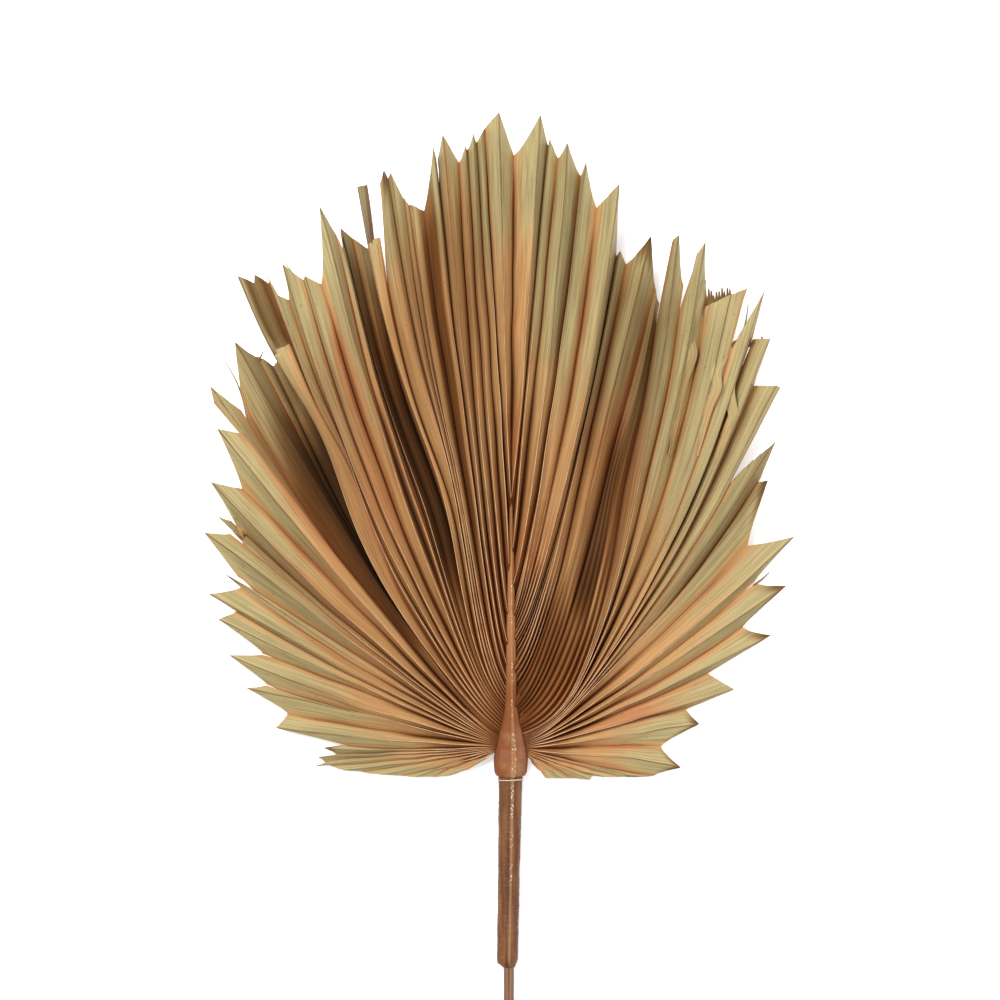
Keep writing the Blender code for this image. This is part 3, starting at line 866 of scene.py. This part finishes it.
    def tones_of(self, order, across, fold):
        """Sage, flush, painted shade and hub along a line."""
        sage_from, flush, painted_middle_shade = (at_place(order, TONES_AT, k) for k in (1, 2, 3))
        wander = np.array([noise.noise(Vector((order * 0.37, row * 2.2, 5.5))) for row in ROWS])
        stripe = np.array([noise.noise(Vector((order * 2.9, row * 1.1, 8.5))) for row in ROWS])
        strayed = ROWS + 0.18 * wander - 0.14 * stripe
        midrib_side = 1.0 - 0.75 * smooth(across, 0.45, 0.95)
        sage = smooth(strayed, sage_from - 0.24, sage_from + 0.3) * midrib_side
        valley = smooth(across, 0.5, 1.0)
        body = smooth(ROWS, 0.12, 0.4) * (1.0 - smooth(ROWS, sage_from + 0.05, 1.05))
        flushed = flush * (0.5 * valley + 0.6 * body * (0.75 + 0.9 * wander)) + 0.22 * stripe
        flushed = np.clip(flushed * (1.0 - 0.6 * smooth(ROWS, 0.86, 1.0)), 0.0, 1.0)
        hub = 1.0 - smooth(ROWS, 0.06, 0.42)
        return np.stack((sage, flushed, self.shade_of(order, across, fold, painted_middle_shade), hub), axis=1)

    def shade_of(self, order, across, fold, painted_middle_shade):
        """Painted shade along a line: the darkest of the shades laid there, with the dark brown of brown tips
        among them.
        """
        more, reach = gathers_at(order)
        ridge = np.interp(across, *GATHERS) if more else 0.0
        central = 1.0 - smooth(abs(order - 33.0), 6.0, 14.0)
        # Painted shade between the pleats near the stalk, and between the gathers of a gathered segment.
        if more:
            between_pleats = 0.7 * more * (1.0 - ridge) * (1.0 - smooth(ROWS, 0.4 * reach, 1.15 * reach))
        else:
            between_pleats = 0.95 * smooth(across, 0.35, 1.0) * (1.0 - smooth(ROWS, 0.1, 0.72))
        # Painted shade at the bottoms of deep folds, over the middle of some lobes, along the valleys, as a
        # thin shadow beside each midrib and close to the stalk.
        shades = [
            between_pleats,
            0.45 * fold * (1.0 - 0.35 * smooth(ROWS, 0.9, 1.0)),
            painted_middle_shade * smooth(ROWS, 0.1, 0.3) * (1.0 - 0.7 * smooth(ROWS, 0.72, 1.0)),
            (0.45 + 0.4 * central) * smooth(across, 0.8, 1.0) * (1.0 - 0.6 * smooth(ROWS, 0.8, 1.0)),
            0.5 * (1.0 - smooth(across, 0.0, 0.1)) * smooth(ROWS, 0.2, 0.5),
            0.55 * (1.0 - smooth(ROWS, 0.0, 0.07)),
        ]
        # The dark brown of brown tips is the leaf's own colour.
        if int(order) in BROWN_TIPS:
            shades.append(0.75 * (1.0 - across) * smooth(ROWS, 0.93, 1.0))
        # Painted shade in the deep folds between the lobes.
        for bottom, left, right, dark, fade_from, fade_to, fade in HOLLOWS:
            away = (bottom - order) / left if order < bottom else (order - bottom) / right
            within = dark * (1.0 - 0.38 * ridge) * smooth(1.0 - away, 0.0, 0.48)
            faded = 1.0 - fade * smooth(ROWS, fade_from, fade_to)
            shades.append(within * smooth(ROWS, 0.15, 0.35) * faded)
        # Painted shade on rims in the shadow of the strip before them.
        for first, last, start, dark in SHADED_RIMS:
            if first < order < last:
                pleated = 0.75 - 0.25 * math.cos(4.0 * math.pi * across)
                shades.append(dark * pleated * smooth(ROWS, start, start + 0.06))
        return np.max(shades, axis=0)

    def add(self, points, tones):
        first = len(self.points)
        self.points.extend(points)
        self.tones.extend(tones)
        return list(range(first, first + len(points)))

    def add_branch(self, trunk, points, tones, apart):
        """A line that shares the trunk's points up to a row, then has its own."""
        return trunk[: apart + 1] + self.add(points[apart + 1:], tones[apart + 1:])

    def strip(self, left, right, u_left, u_right, along):
        """Faces between two lines, seen from above with the first on the left."""
        for row in range(len(ROWS) - 1):
            self.faces.append((left[row], right[row], right[row + 1], left[row + 1]))
            low, high = along * ROWS[row] * MM, along * ROWS[row + 1] * MM
            self.uvs.append(((u_left, low), (u_right, low), (u_right, high), (u_left, high)))

    def stray(self, order, across, base_end, end, share):
        """A line that follows one rim end up to a share of its length, then strays to another."""
        points, tones = self.line(order, base_end, across)
        pull = smooth(ROWS, share - 0.02, 1.0)[:, None] if share < 1.0 else 0.0
        return points + pull * (np.array(end, float) - np.array(base_end, float)), tones

    def half(self, number, side, midrib, valley, tip, corner, tip_base, corner_base, shares):
        """Half a pleat between a midrib and the valley on one side, -1 left or 1 right.

        Where shares are below 1, its midrib and its valley stray from there on, from the base ends
        to the tip and the corner.
        """
        start = number * VEINS_APART
        width = min(18.0, math.dist(tip[:2], corner[:2]) + 4.0) * MM
        length = math.dist(tip[:2], (0.0, 0.0))
        shape = RIM_BULGES.get((number, side), self.random.uniform(1.0, 1.45))
        outward = np.array(tip, float) / max(1.0, np.linalg.norm(tip))
        reach = np.array(tip, float) - np.array(corner, float)
        radial = outward * float(reach @ outward)
        lateral = reach - radial
        lines = [midrib]
        spread = ACROSS_GATHERED if number in GATHERED else ACROSS
        notches = RIM_NOTCHES.get((number, side), (0.0,) * len(spread))
        for across, notch in zip(spread[1:-1], notches):
            jitter = (self.random.uniform(-0.35, 0.35) - notch) * outward
            order = number + 0.5 + side * 0.5 * across
            end = np.array(corner, float) + lateral * (1.0 - across) + radial * (1.0 - across) ** shape
            end += jitter
            base = np.array(corner_base, float) * across + np.array(tip_base, float) * (1.0 - across)
            share = shares[0] * (1.0 - across) + shares[1] * across
            if share < 1.0:
                points, tones = self.stray(order, across, base, end, share)
            else:
                points, tones = self.line(order, end, across)
            if number in GATHERED and number not in BURIED_MIDRIBS and across in RIBBED:
                self.ribs.append(points)
            lines.append(self.add(points, tones))
        lines.append(valley)
        creased = lines[::2] if number in GATHERED else (midrib, valley)
        for line in creased:
            self.creases.update(zip(line, line[1:]))
        places = [start + side * across * width for across in spread]
        for k in range(len(spread) - 1):
            left, right = (k + 1, k) if side < 0 else (k, k + 1)
            self.strip(lines[left], lines[right], places[left], places[right], length)

    def grow(self):
        """Every segment in turn, each sharing its left valley with the one before."""
        valley = self.add(*self.line(0.0, LEFT_EDGE, 1.0))
        corner_base, corner, share = LEFT_EDGE, LEFT_EDGE, 1.0
        for number, (tip, corners, *snapped) in enumerate(SEGMENTS):
            points, tones = self.line(number + 0.5, tip, 0.0)
            midrib = self.add(points, tones)
            self.midribs.append((number, points))
            self.half(number, -1, midrib, valley, tip, corner, tip, corner_base, (1.0, share))

            tip_right, share_right = tip, 1.0
            if snapped:
                share_right = SNAPS[number]
                apart = int(np.searchsorted(ROWS, share_right))
                points, tones = self.stray(number + 0.5, 0.0, tip, snapped[0], share_right)
                midrib = self.add_branch(midrib, points, tones, apart)
                tip_right = snapped[0]
            points, tones = self.line(number + 1.0, corners[0], 1.0)
            valley = self.add(points, tones)
            self.half(number, 1, midrib, valley, tip_right, corners[0], tip, corners[0], (share_right, 1.0))

            corner_base = corner = corners[0]
            share = 1.0
            if number in TEARS or number in SLITS:
                share = (TEARS | SLITS)[number]
                if len(corners) > 1:
                    corner = corners[1]
                else:
                    toward = np.array((corner[1], -corner[0], 0.0))
                    corner = tuple(np.array(corner) + toward / np.linalg.norm(toward) * SLIT_GAP)
                points, tones = self.stray(number + 1.0, 1.0, corner_base, corner, share)
                apart = int(np.searchsorted(ROWS, share))
                valley = self.add_branch(valley, points, tones, apart)

    def narrow_strip(self, lines, vein_step):
        """Faces between neighbouring lines of one strip, its veins running along it."""
        for left, right in zip(lines, lines[1:]):
            for row in range(len(left) - 1):
                self.faces.append((left[row], right[row], right[row + 1], left[row + 1]))
                low, high = vein_step * row, vein_step * (row + 1)
                self.uvs.append(((0.0, low), (0.003, low), (0.003, high), (0.0, high)))

    def curl(self, edge, sheet):
        """A torn edge that lifts off the sheet along its length."""
        edge = np.array(edge[::-1], float)
        place = np.linspace(0.0, len(edge) - 1.0, 5 * len(edge))
        flat = np.stack([np.interp(place, range(len(edge)), edge[:, k]) for k in (0, 1)], axis=1)
        flat[1:-1] = (flat[:-2] + flat[1:-1] + flat[2:]) / 3.0
        share = np.linspace(0.0, 1.0, len(flat))
        taper = np.sin(math.pi * np.clip(share, 0.03, 0.97)) ** 0.5
        along = np.gradient(flat, axis=0)
        inward = np.stack((-along[:, 1], along[:, 0]), axis=1)
        inward *= (CURL_WIDTH * taper / np.linalg.norm(inward, axis=1))[:, None]
        lines = []
        for across in (1.0, 0.55, 0.2, 0.0):
            place = flat + inward * across
            nearest = [np.hypot(*(sheet[:, :2] - point).T).argmin() for point in place]
            heights = np.convolve(np.pad(sheet[nearest, 2], 7, "edge"), np.ones(15) / 15.0, "valid")
            heights += 0.3 + CURL_LIFT * taper * (1.0 - across) ** 1.6
            # Painted shade along the lifted edge.
            shade = np.full(len(share), 0.25 * (across < 0.1))
            tones = np.stack((0.4 + 0.6 * share, 0.35 - 0.3 * share, shade, np.zeros(len(share))), axis=1)
            lines.append(self.add(np.column_stack((place, heights)), tones))
        self.narrow_strip(lines, 0.004)

    def strand(self, base, tip, width):
        """A loose strand that narrows to its tip."""
        base, tip = np.array(base, float), np.array(tip, float)
        share = np.linspace(0.0, 1.0, 6)
        path = base + np.outer(share, tip - base)
        path[:, 0] += 0.05 * np.linalg.norm(tip - base) * np.sin(math.pi * share)
        along = np.gradient(path[:, :2], axis=0)
        left = np.stack((-along[:, 1], along[:, 0], np.zeros(len(path))), axis=1)
        left *= (0.5 * width * (1.0 - 0.7 * share) / np.linalg.norm(left, axis=1))[:, None]
        bare = np.zeros(len(share))
        tones = np.stack((bare + 1.0, bare, 0.45 + 0.1 * share, bare), axis=1)
        self.narrow_strip([self.add(path + left, tones), self.add(path - left, tones)], 0.01)

    def fray(self):
        """Torn edges that curl up, loose strands, and combs of broken threads."""
        sheet = np.array(self.points)
        for edge in CURLS:
            self.curl(edge, sheet)
        for strand in STRANDS:
            self.strand(*strand)
        for first, last, count, lean, width in COMBS:
            first, last = np.array(first, float), np.array(last, float)
            for k in range(count):
                base = first + (last - first) * k / (count - 1)
                self.strand(base, base + np.array(lean) * self.random.uniform(0.55, 1.0), width)

    def object(self, name):
        data = bpy.data.meshes.new(name)
        data.from_pydata([tuple(point) for point in placed(self.points)], [], self.faces)
        tone = data.color_attributes.new("tone", "FLOAT_COLOR", "POINT")
        tone.data.foreach_set("color", np.array(self.tones, np.float32).ravel())
        uv = data.uv_layers.new(name="veins")
        uv.data.foreach_set("uv", np.array(self.uvs, np.float32).ravel())
        for edge in data.edges:
            edge.use_edge_sharp = tuple(sorted(edge.vertices)) in self.creases
        return show(bpy.data.objects.new(name, data))


def loft(name, rings, marks=None, loop=False):
    """A closed skin through rings of points, capped or joined end to end, smooth shaded."""
    sides = len(rings[0])
    points = placed(np.concatenate(rings))
    faces = []
    spans = len(rings) if loop else len(rings) - 1
    for k in range(spans):
        here, there = k * sides, (k + 1) % len(rings) * sides
        for i in range(sides):
            j = (i + 1) % sides
            faces.append((here + i, there + i, there + j, here + j))
    if not loop:
        faces.append(tuple(range(sides)))
        faces.append(tuple(range((len(rings) - 1) * sides, len(rings) * sides))[::-1])
    data = bpy.data.meshes.new(name)
    data.from_pydata([tuple(p) for p in points], [], faces)
    face_outwards(data)
    data.set_sharp_from_angle(angle=math.radians(45.0))
    if marks is not None:
        keel = data.attributes.new("keel", "FLOAT", "POINT")
        keel.data.foreach_set("value", np.concatenate(marks).astype(np.float32))
    return show(bpy.data.objects.new(name, data))


def stalk_centre(y):
    lean = STALK_LEAN * np.clip(-y / -SLEEVE_END, 0.0, 1.0)
    return np.array((lean, y, float(stalk_height(y))))


def section(centre, half_width, half_height, sides, keel_rise=0.0, keel_width=13.0, hollow=0.0,
            keel_turn=80.0):
    """One ring round the stalk, with a keel along its top and hollows beside it, and its marks.

    A mark is 1 on the keel, 0 elsewhere on the top and below 0 down the flanks. The materials paint a
    highlight on the keel and shade down the flanks from it.
    """
    turns = np.linspace(0.0, 2.0 * math.pi, sides, endpoint=False)
    degrees = np.degrees(turns)
    bump = np.exp(-(((degrees - keel_turn) / keel_width) ** 2))
    dips = sum(np.exp(-(((degrees - keel_turn - step) / 16.0) ** 2)) for step in (-32.0, 32.0))
    swell = 1.0 + keel_rise * bump - hollow * dips
    ring = np.stack((half_width * np.cos(turns), np.zeros(sides), half_height * np.sin(turns)), axis=1)
    return centre + ring * swell[:, None], bump - 0.9 * smooth(np.abs(np.cos(turns)), 0.86, 1.0)


def stripe(sides, degrees, width):
    """1 along a line at an angle round a ring, 0 away from it."""
    around = np.linspace(0.0, 360.0, sides, endpoint=False)
    return np.exp(-(((around - degrees) / width) ** 2))


def stalk_sizes(y):
    return (np.interp(y, STALK_STATIONS[:, 0], STALK_STATIONS[:, 1]),
            np.interp(y, STALK_STATIONS[:, 0], STALK_STATIONS[:, 2]))


def stalk_socket_rings():
    """Rings from the stalk's cut end up the inside of the stick's socket."""
    top, free = stick_ends()
    along = (free - top) / np.linalg.norm(free - top)
    rings = []
    for reach in (0.0, 1.0):
        mouth = stalk_centre(STALK_CUT) + np.array((STICK_ASIDE, 0.0, 0.0))
        centre = mouth * (1.0 - reach) + (top - along * 2.0) * reach
        ring, _ = section(centre, STICK_RADIUS + 0.3, STICK_RADIUS + 0.3, STALK_SIDES)
        rings.append(ring)
    return rings


def stick_ends():
    mouth = stalk_centre(SLEEVE_END) + np.array((STICK_ASIDE, 0.0, 0.0))
    free = np.array((mouth[0], SLEEVE_END - STICK_SHOWN, STICK_RADIUS))
    along = (mouth - free) / np.linalg.norm(mouth - free)
    return mouth + along * STICK_IN_SOCKET, free


# ---------------------------------------------------------------------------------------------
# Geometry node trees
# ---------------------------------------------------------------------------------------------


def tube_tree(material):
    """Turns edges into round tubes whose radius comes from the points' own attribute."""
    tree = bpy.data.node_groups.new("midrib_tubes", "GeometryNodeTree")
    tree.interface.new_socket("Geometry", in_out="INPUT", socket_type="NodeSocketGeometry")
    tree.interface.new_socket("Thickness", in_out="INPUT", socket_type="NodeSocketFloat")
    tree.interface.new_socket("Sides", in_out="INPUT", socket_type="NodeSocketInt")
    tree.interface.new_socket("Geometry", in_out="OUTPUT", socket_type="NodeSocketGeometry")
    given = put(tree, "NodeGroupInput")
    width = put(tree, "GeometryNodeInputNamedAttribute", {"Name": "width"}, data_type="FLOAT")
    curve = put(tree, "GeometryNodeMeshToCurve", {"Mesh": given.outputs["Geometry"]})
    radius = sum_of(tree, width.outputs["Attribute"], given.outputs["Thickness"], "MULTIPLY")
    ring = put(tree, "GeometryNodeCurvePrimitiveCircle",
               {"Resolution": given.outputs["Sides"], "Radius": 1.0})
    tube = put(tree, "GeometryNodeCurveToMesh", {"Curve": curve.outputs[0], "Profile Curve": ring.outputs[0],
                                                 "Scale": radius, "Fill Caps": True})
    real = put(tree, "GeometryNodeRealizeInstances", {0: tube.outputs[0]})
    dressed = put(tree, "GeometryNodeSetMaterial", {"Geometry": real.outputs[0], "Material": material})
    done = put(tree, "NodeGroupOutput")
    tree.links.new(dressed.outputs[0], done.inputs[0])
    return tree


def tubes(name, paths, widths, alongs, thickness, sides, material):
    """Round tubes along paths in millimetres, by the tube tree, as a plain mesh."""
    points, edges = [], []
    for path in paths:
        first = len(points)
        points.extend(placed(path))
        edges.extend((k, k + 1) for k in range(first, len(points) - 1))
    data = bpy.data.meshes.new(name)
    data.from_pydata([tuple(p) for p in points], edges, [])
    for title, values in (("width", widths), ("along", alongs)):
        attribute = data.attributes.new(title, "FLOAT", "POINT")
        attribute.data.foreach_set("value", np.concatenate(values).astype(np.float32))
    item = show(bpy.data.objects.new(name, data))
    tree = tube_tree(material)
    modifier = item.modifiers.new("tubes", "NODES")
    modifier.node_group = tree
    for socket in tree.interface.items_tree:
        if socket.in_out == "INPUT" and socket.name == "Thickness":
            modifier[socket.identifier] = thickness
        if socket.in_out == "INPUT" and socket.name == "Sides":
            modifier[socket.identifier] = sides
    item = applied(item, name)
    face_outwards(item.data)
    return item


# ---------------------------------------------------------------------------------------------
# Operators
# ---------------------------------------------------------------------------------------------


class FROND_OT_add_leaf(bpy.types.Operator):
    """Adds the pleated leaf and the midribs along its pleats"""

    bl_idname = "frond.add_leaf"
    bl_label = "Add Leaf"

    def execute(self, context):
        wants = context.scene.frond_leaf
        leaf = Leaf(wants)
        leaf.grow()
        leaf.fray()
        item = leaf.object("blade_leaf")
        wall = item.modifiers.new("thickness", "SOLIDIFY")
        wall.thickness = wants.thickness
        wall.offset = 0.0
        item = applied(item, "blade_leaf")
        sharpen(item.data, 50.0)
        finish_piece(item, leaf_material(), "blade")

        paths, widths, alongs = [], [], []
        for number, points in leaf.midribs:
            if number in BURIED_MIDRIBS:
                continue
            paths.append(points + np.array((0.0, 0.0, 0.2)))
            alongs.append(ROWS)
            room = np.clip(leaf.gaps[2 * number + 1] / 2.6, 0.12, 1.0)
            widths.append((1.0 - 0.72 * ROWS**0.6) * room)
        for points in leaf.ribs:
            paths.append(points[:RIB_ROWS] + np.array((0.0, 0.0, 0.15)))
            alongs.append(ROWS[:RIB_ROWS])
            widths.append(0.85 - 0.7 * (ROWS[:RIB_ROWS] / ROWS[RIB_ROWS]) ** 2)
        ribs = tubes("blade_midribs", paths, widths, alongs, wants.midrib_radius, 6, midrib_material())
        finish_piece(ribs, ribs.data.materials[0], None)
        return {"FINISHED"}


class FROND_OT_add_stalk(bpy.types.Operator):
    """Adds the stalk, which swells into a heel and runs up the leaf as its main midrib"""

    bl_idname = "frond.add_stalk"
    bl_label = "Add Stalk"

    def execute(self, context):
        rings, marks = [], []
        places = np.concatenate((np.linspace(STALK_CUT, -26.0, 34), np.linspace(-24.0, 45.0, 90),
                                 np.linspace(48.0, 208.0, 70)))
        for y in places:
            half_width, half_height = stalk_sizes(y)
            wobble = 1.0 + 0.02 * noise.noise(Vector((0.0, y / 9.0, 2.0)))
            ring, keel = section(stalk_centre(y), half_width * wobble, half_height, STALK_SIDES,
                                 keel_rise=0.13, keel_width=10.0, hollow=0.05)
            rings.append(ring)
            marks.append(keel)
        for ring in stalk_socket_rings():
            rings.insert(0, ring)
            marks.insert(0, np.zeros(STALK_SIDES))
        item = loft("stalk_body", rings, marks)
        finish_piece(item, stalk_material(), "stalk")
        return {"FINISHED"}


class FROND_OT_add_sleeve(bpy.types.Operator):
    """Adds the wrinkled paper sleeve"""

    bl_idname = "frond.add_sleeve"
    bl_label = "Add Sleeve"

    def execute(self, context):
        wrinkle = context.scene.frond_stalk.wrinkle / MM
        sides = SLEEVE_SIDES
        outside, inside, marks = [], [], []
        for y in np.concatenate((np.linspace(SLEEVE_TOP, -30.0, 20), np.linspace(-30.6, -157.0, 190))):
            half_width, half_height = stalk_sizes(min(y, TIE_STATION))
            centre = stalk_centre(y)
            ring, mark = section(centre, half_width + SLEEVE_OUT, half_height + SLEEVE_OUT, sides,
                                 keel_rise=0.11, keel_width=9.0, hollow=0.03)
            # Painted shade: a dark line beside the keel and a darker band at the top rim.
            rim_shade = 0.8 * float(smooth(y, SLEEVE_TOP - 1.6, SLEEVE_TOP))
            marks.append(mark - 0.7 * stripe(sides, 97.0, 6.0) - rim_shade)
            for i, point in enumerate(ring):
                turn = 2.0 * math.pi * i / sides
                crease = noise.noise(Vector((math.cos(turn) * 1.6, math.sin(turn) * 1.6, y / 1.3)))
                sag = noise.noise(Vector((math.cos(turn), math.sin(turn), y / 14.0)))
                out = (point - centre) / np.linalg.norm(point - centre)
                ring[i] = point + out * (wrinkle * crease + 0.3 * sag)
                if y > SLEEVE_TOP - 1.0:
                    ring[i][1] += 0.5 * noise.noise(Vector((turn * 3.0, 0.0, 4.0)))
            outside.append(ring)
            thin, _ = section(centre, half_width + SLEEVE_IN, half_height + SLEEVE_IN, sides,
                              keel_rise=0.13, keel_width=10.0, hollow=0.05)
            inside.append(thin)
        neck_centre = stalk_centre(SLEEVE_END) + np.array((STICK_ASIDE, 0.0, 0.0))
        base = outside[-1]
        neck, _ = section(neck_centre, STICK_RADIUS + 0.7, STICK_RADIUS + 0.7, sides)
        inner_neck, _ = section(neck_centre, STICK_RADIUS + 0.2, STICK_RADIUS + 0.2, sides)
        for share in (0.08, 0.45, 0.8, 1.0):
            ring = base * (1.0 - share) + neck * share
            ring[:, 1] = np.interp(share, (0.0, 0.08, 1.0), (*SLEEVE_GATHER, SLEEVE_END))
            ring[:, 1] += (1.0 - share) * 0.16 * (ring[:, 0] - neck_centre[0])
            outside.append(ring)
            # A little more painted shade down the gathered neck.
            marks.append(marks[-1] - 0.1)
        inside.append(inner_neck)
        marks += [np.zeros(sides)] * len(inside)
        item = loft("sleeve_wrap", outside + inside[::-1], marks, loop=True)
        finish_piece(item, sleeve_material(), "sleeve")
        return {"FINISHED"}


class FROND_OT_add_tie(bpy.types.Operator):
    """Adds the thread round the top of the sleeve: two twisted strands"""

    bl_idname = "frond.add_tie"
    bl_label = "Add Tie"

    def execute(self, context):
        half_width, half_height = stalk_sizes(TIE_STATION)
        count, twists, offset = 240, 26, 0.2
        paths, widths, alongs = [], [], []
        for strand in range(2):
            path = []
            for k in range(count + 1):
                turn = 2.0 * math.pi * k / count
                spin = twists * turn + strand * math.pi
                out = 1.55 + offset * math.cos(spin)
                path.append(stalk_centre(TIE_STATION) + np.array((
                    (half_width + out) * math.cos(turn),
                    offset * math.sin(spin) + 0.25 * math.sin(2.0 * turn + 0.6),
                    (half_height + out) * math.sin(turn))))
            paths.append(np.array(path))
            widths.append(np.ones(count + 1))
            alongs.append(np.linspace(0.0, 1.0, count + 1))
        item = tubes("tie_thread", paths, widths, alongs, THREAD_RADIUS * MM, 6, thread_material())
        finish_piece(item, item.data.materials[0], "tie")
        return {"FINISHED"}


class FROND_OT_add_stick(bpy.types.Operator):
    """Adds the round stick that the stalk is mounted on"""

    bl_idname = "frond.add_stick"
    bl_label = "Add Stick"

    def execute(self, context):
        top, free = stick_ends()
        rings, marks = [], []
        # Painted highlights either side of the groove, and painted shade along the groove and down the
        # flanks.
        gleams = stripe(STICK_SIDES, 70.0, 10.0) + stripe(STICK_SIDES, 113.0, 9.0)
        groove_shade = 0.7 * stripe(STICK_SIDES, 92.0, 7.0)
        for share in np.linspace(0.0, 1.0, 140):
            centre = top * (1.0 - share) + free * share
            radius = STICK_RADIUS * (1.0 - 0.015 + 0.015 * noise.noise(Vector((0.0, share * 30.0, 0.0))))
            ring, mark = section(centre, radius, radius, STICK_SIDES,
                                 keel_rise=-0.07, keel_width=9.0, keel_turn=92.0)
            rings.append(ring)
            marks.append(gleams - groove_shade + np.minimum(mark, 0.0))
        item = loft("stick_rod", rings, marks)
        finish_piece(item, stick_material(), "stick")
        return {"FINISHED"}


class FROND_OT_add_stage(bpy.types.Operator):
    """Adds the floor, the lights and the camera"""

    bl_idname = "frond.add_stage"
    bl_label = "Add Stage"

    def execute(self, context):
        wants = context.scene.frond_stage
        scene = context.scene
        data = bpy.data.meshes.new("floor")
        reach = 6.0
        corners = ((-reach, -reach, 0.0), (reach, -reach, 0.0), (reach, reach, 0.0), (-reach, reach, 0.0))
        data.from_pydata(corners, [], [(0, 1, 2, 3)])
        floor = show(bpy.data.objects.new("floor", data))
        floor.data.materials.append(floor_material())

        aim = Vector((HEEL.x - 8.25 * MM, HEEL.y + 187.5 * MM, 0.025))
        camera_data = bpy.data.cameras.new("camera")
        camera_data.lens = wants.lens
        camera_data.sensor_width = 36.0
        camera_data.clip_end = 50.0
        camera = show(bpy.data.objects.new("camera", camera_data))
        camera.location = aim + Vector((0.0, 0.0, wants.distance))
        scene.camera = camera

        lights = (
            ("key", (-0.75, 0.9, 2.35), 1.3, wants.key_power),
            ("fill", (1.7, -0.3, 1.7), 1.6, 0.24 * wants.key_power),
        )
        for name, place, size, power in lights:
            light_data = bpy.data.lights.new(name, "AREA")
            light_data.shape = "DISK"
            light_data.size = size
            light_data.energy = power
            light = show(bpy.data.objects.new(name, light_data))
            light.location = aim + Vector(place)
            light.rotation_euler = (-Vector(place)).to_track_quat("-Z", "Y").to_euler()

        world = bpy.data.worlds.new("studio")
        world.use_nodes = True
        backdrop = world.node_tree.nodes["Background"]
        backdrop.inputs["Color"].default_value = (1.0, 1.0, 1.0, 1.0)
        backdrop.inputs["Strength"].default_value = wants.sky
        scene.world = world
        scene.view_settings.view_transform = "Standard"
        return {"FINISHED"}


class FROND_PT_panel(bpy.types.Panel):
    """Lists the frond's pieces and their settings"""

    bl_label = "Fan Palm Frond"
    bl_space_type = "VIEW_3D"
    bl_region_type = "UI"
    bl_category = "Frond"

    def draw(self, context):
        for operator in OPERATORS:
            self.layout.operator(operator.bl_idname)
        for group, members in SETTINGS.items():
            box = self.layout.box()
            for name in members.__annotations__:
                box.prop(getattr(context.scene, group), name)


OPERATORS = (FROND_OT_add_leaf, FROND_OT_add_stalk, FROND_OT_add_sleeve, FROND_OT_add_tie,
             FROND_OT_add_stick, FROND_OT_add_stage)
SETTINGS = {"frond_leaf": FrondLeafSettings, "frond_stalk": FrondStalkSettings,
            "frond_stage": FrondStageSettings}


def register():
    for group, members in SETTINGS.items():
        bpy.utils.register_class(members)
        setattr(bpy.types.Scene, group, PointerProperty(type=members))
    for kind in (*OPERATORS, FROND_PT_panel):
        bpy.utils.register_class(kind)


def unregister():
    for kind in reversed((*OPERATORS, FROND_PT_panel)):
        bpy.utils.unregister_class(kind)
    for group, members in SETTINGS.items():
        delattr(bpy.types.Scene, group)
        bpy.utils.unregister_class(members)


def main():
    register()
    bpy.ops.frond.add_leaf()
    bpy.ops.frond.add_stalk()
    bpy.ops.frond.add_sleeve()
    bpy.ops.frond.add_tie()
    bpy.ops.frond.add_stick()
    bpy.ops.frond.add_stage()
    bpy.context.view_layer.update()


if __name__ == "__main__":
    main()
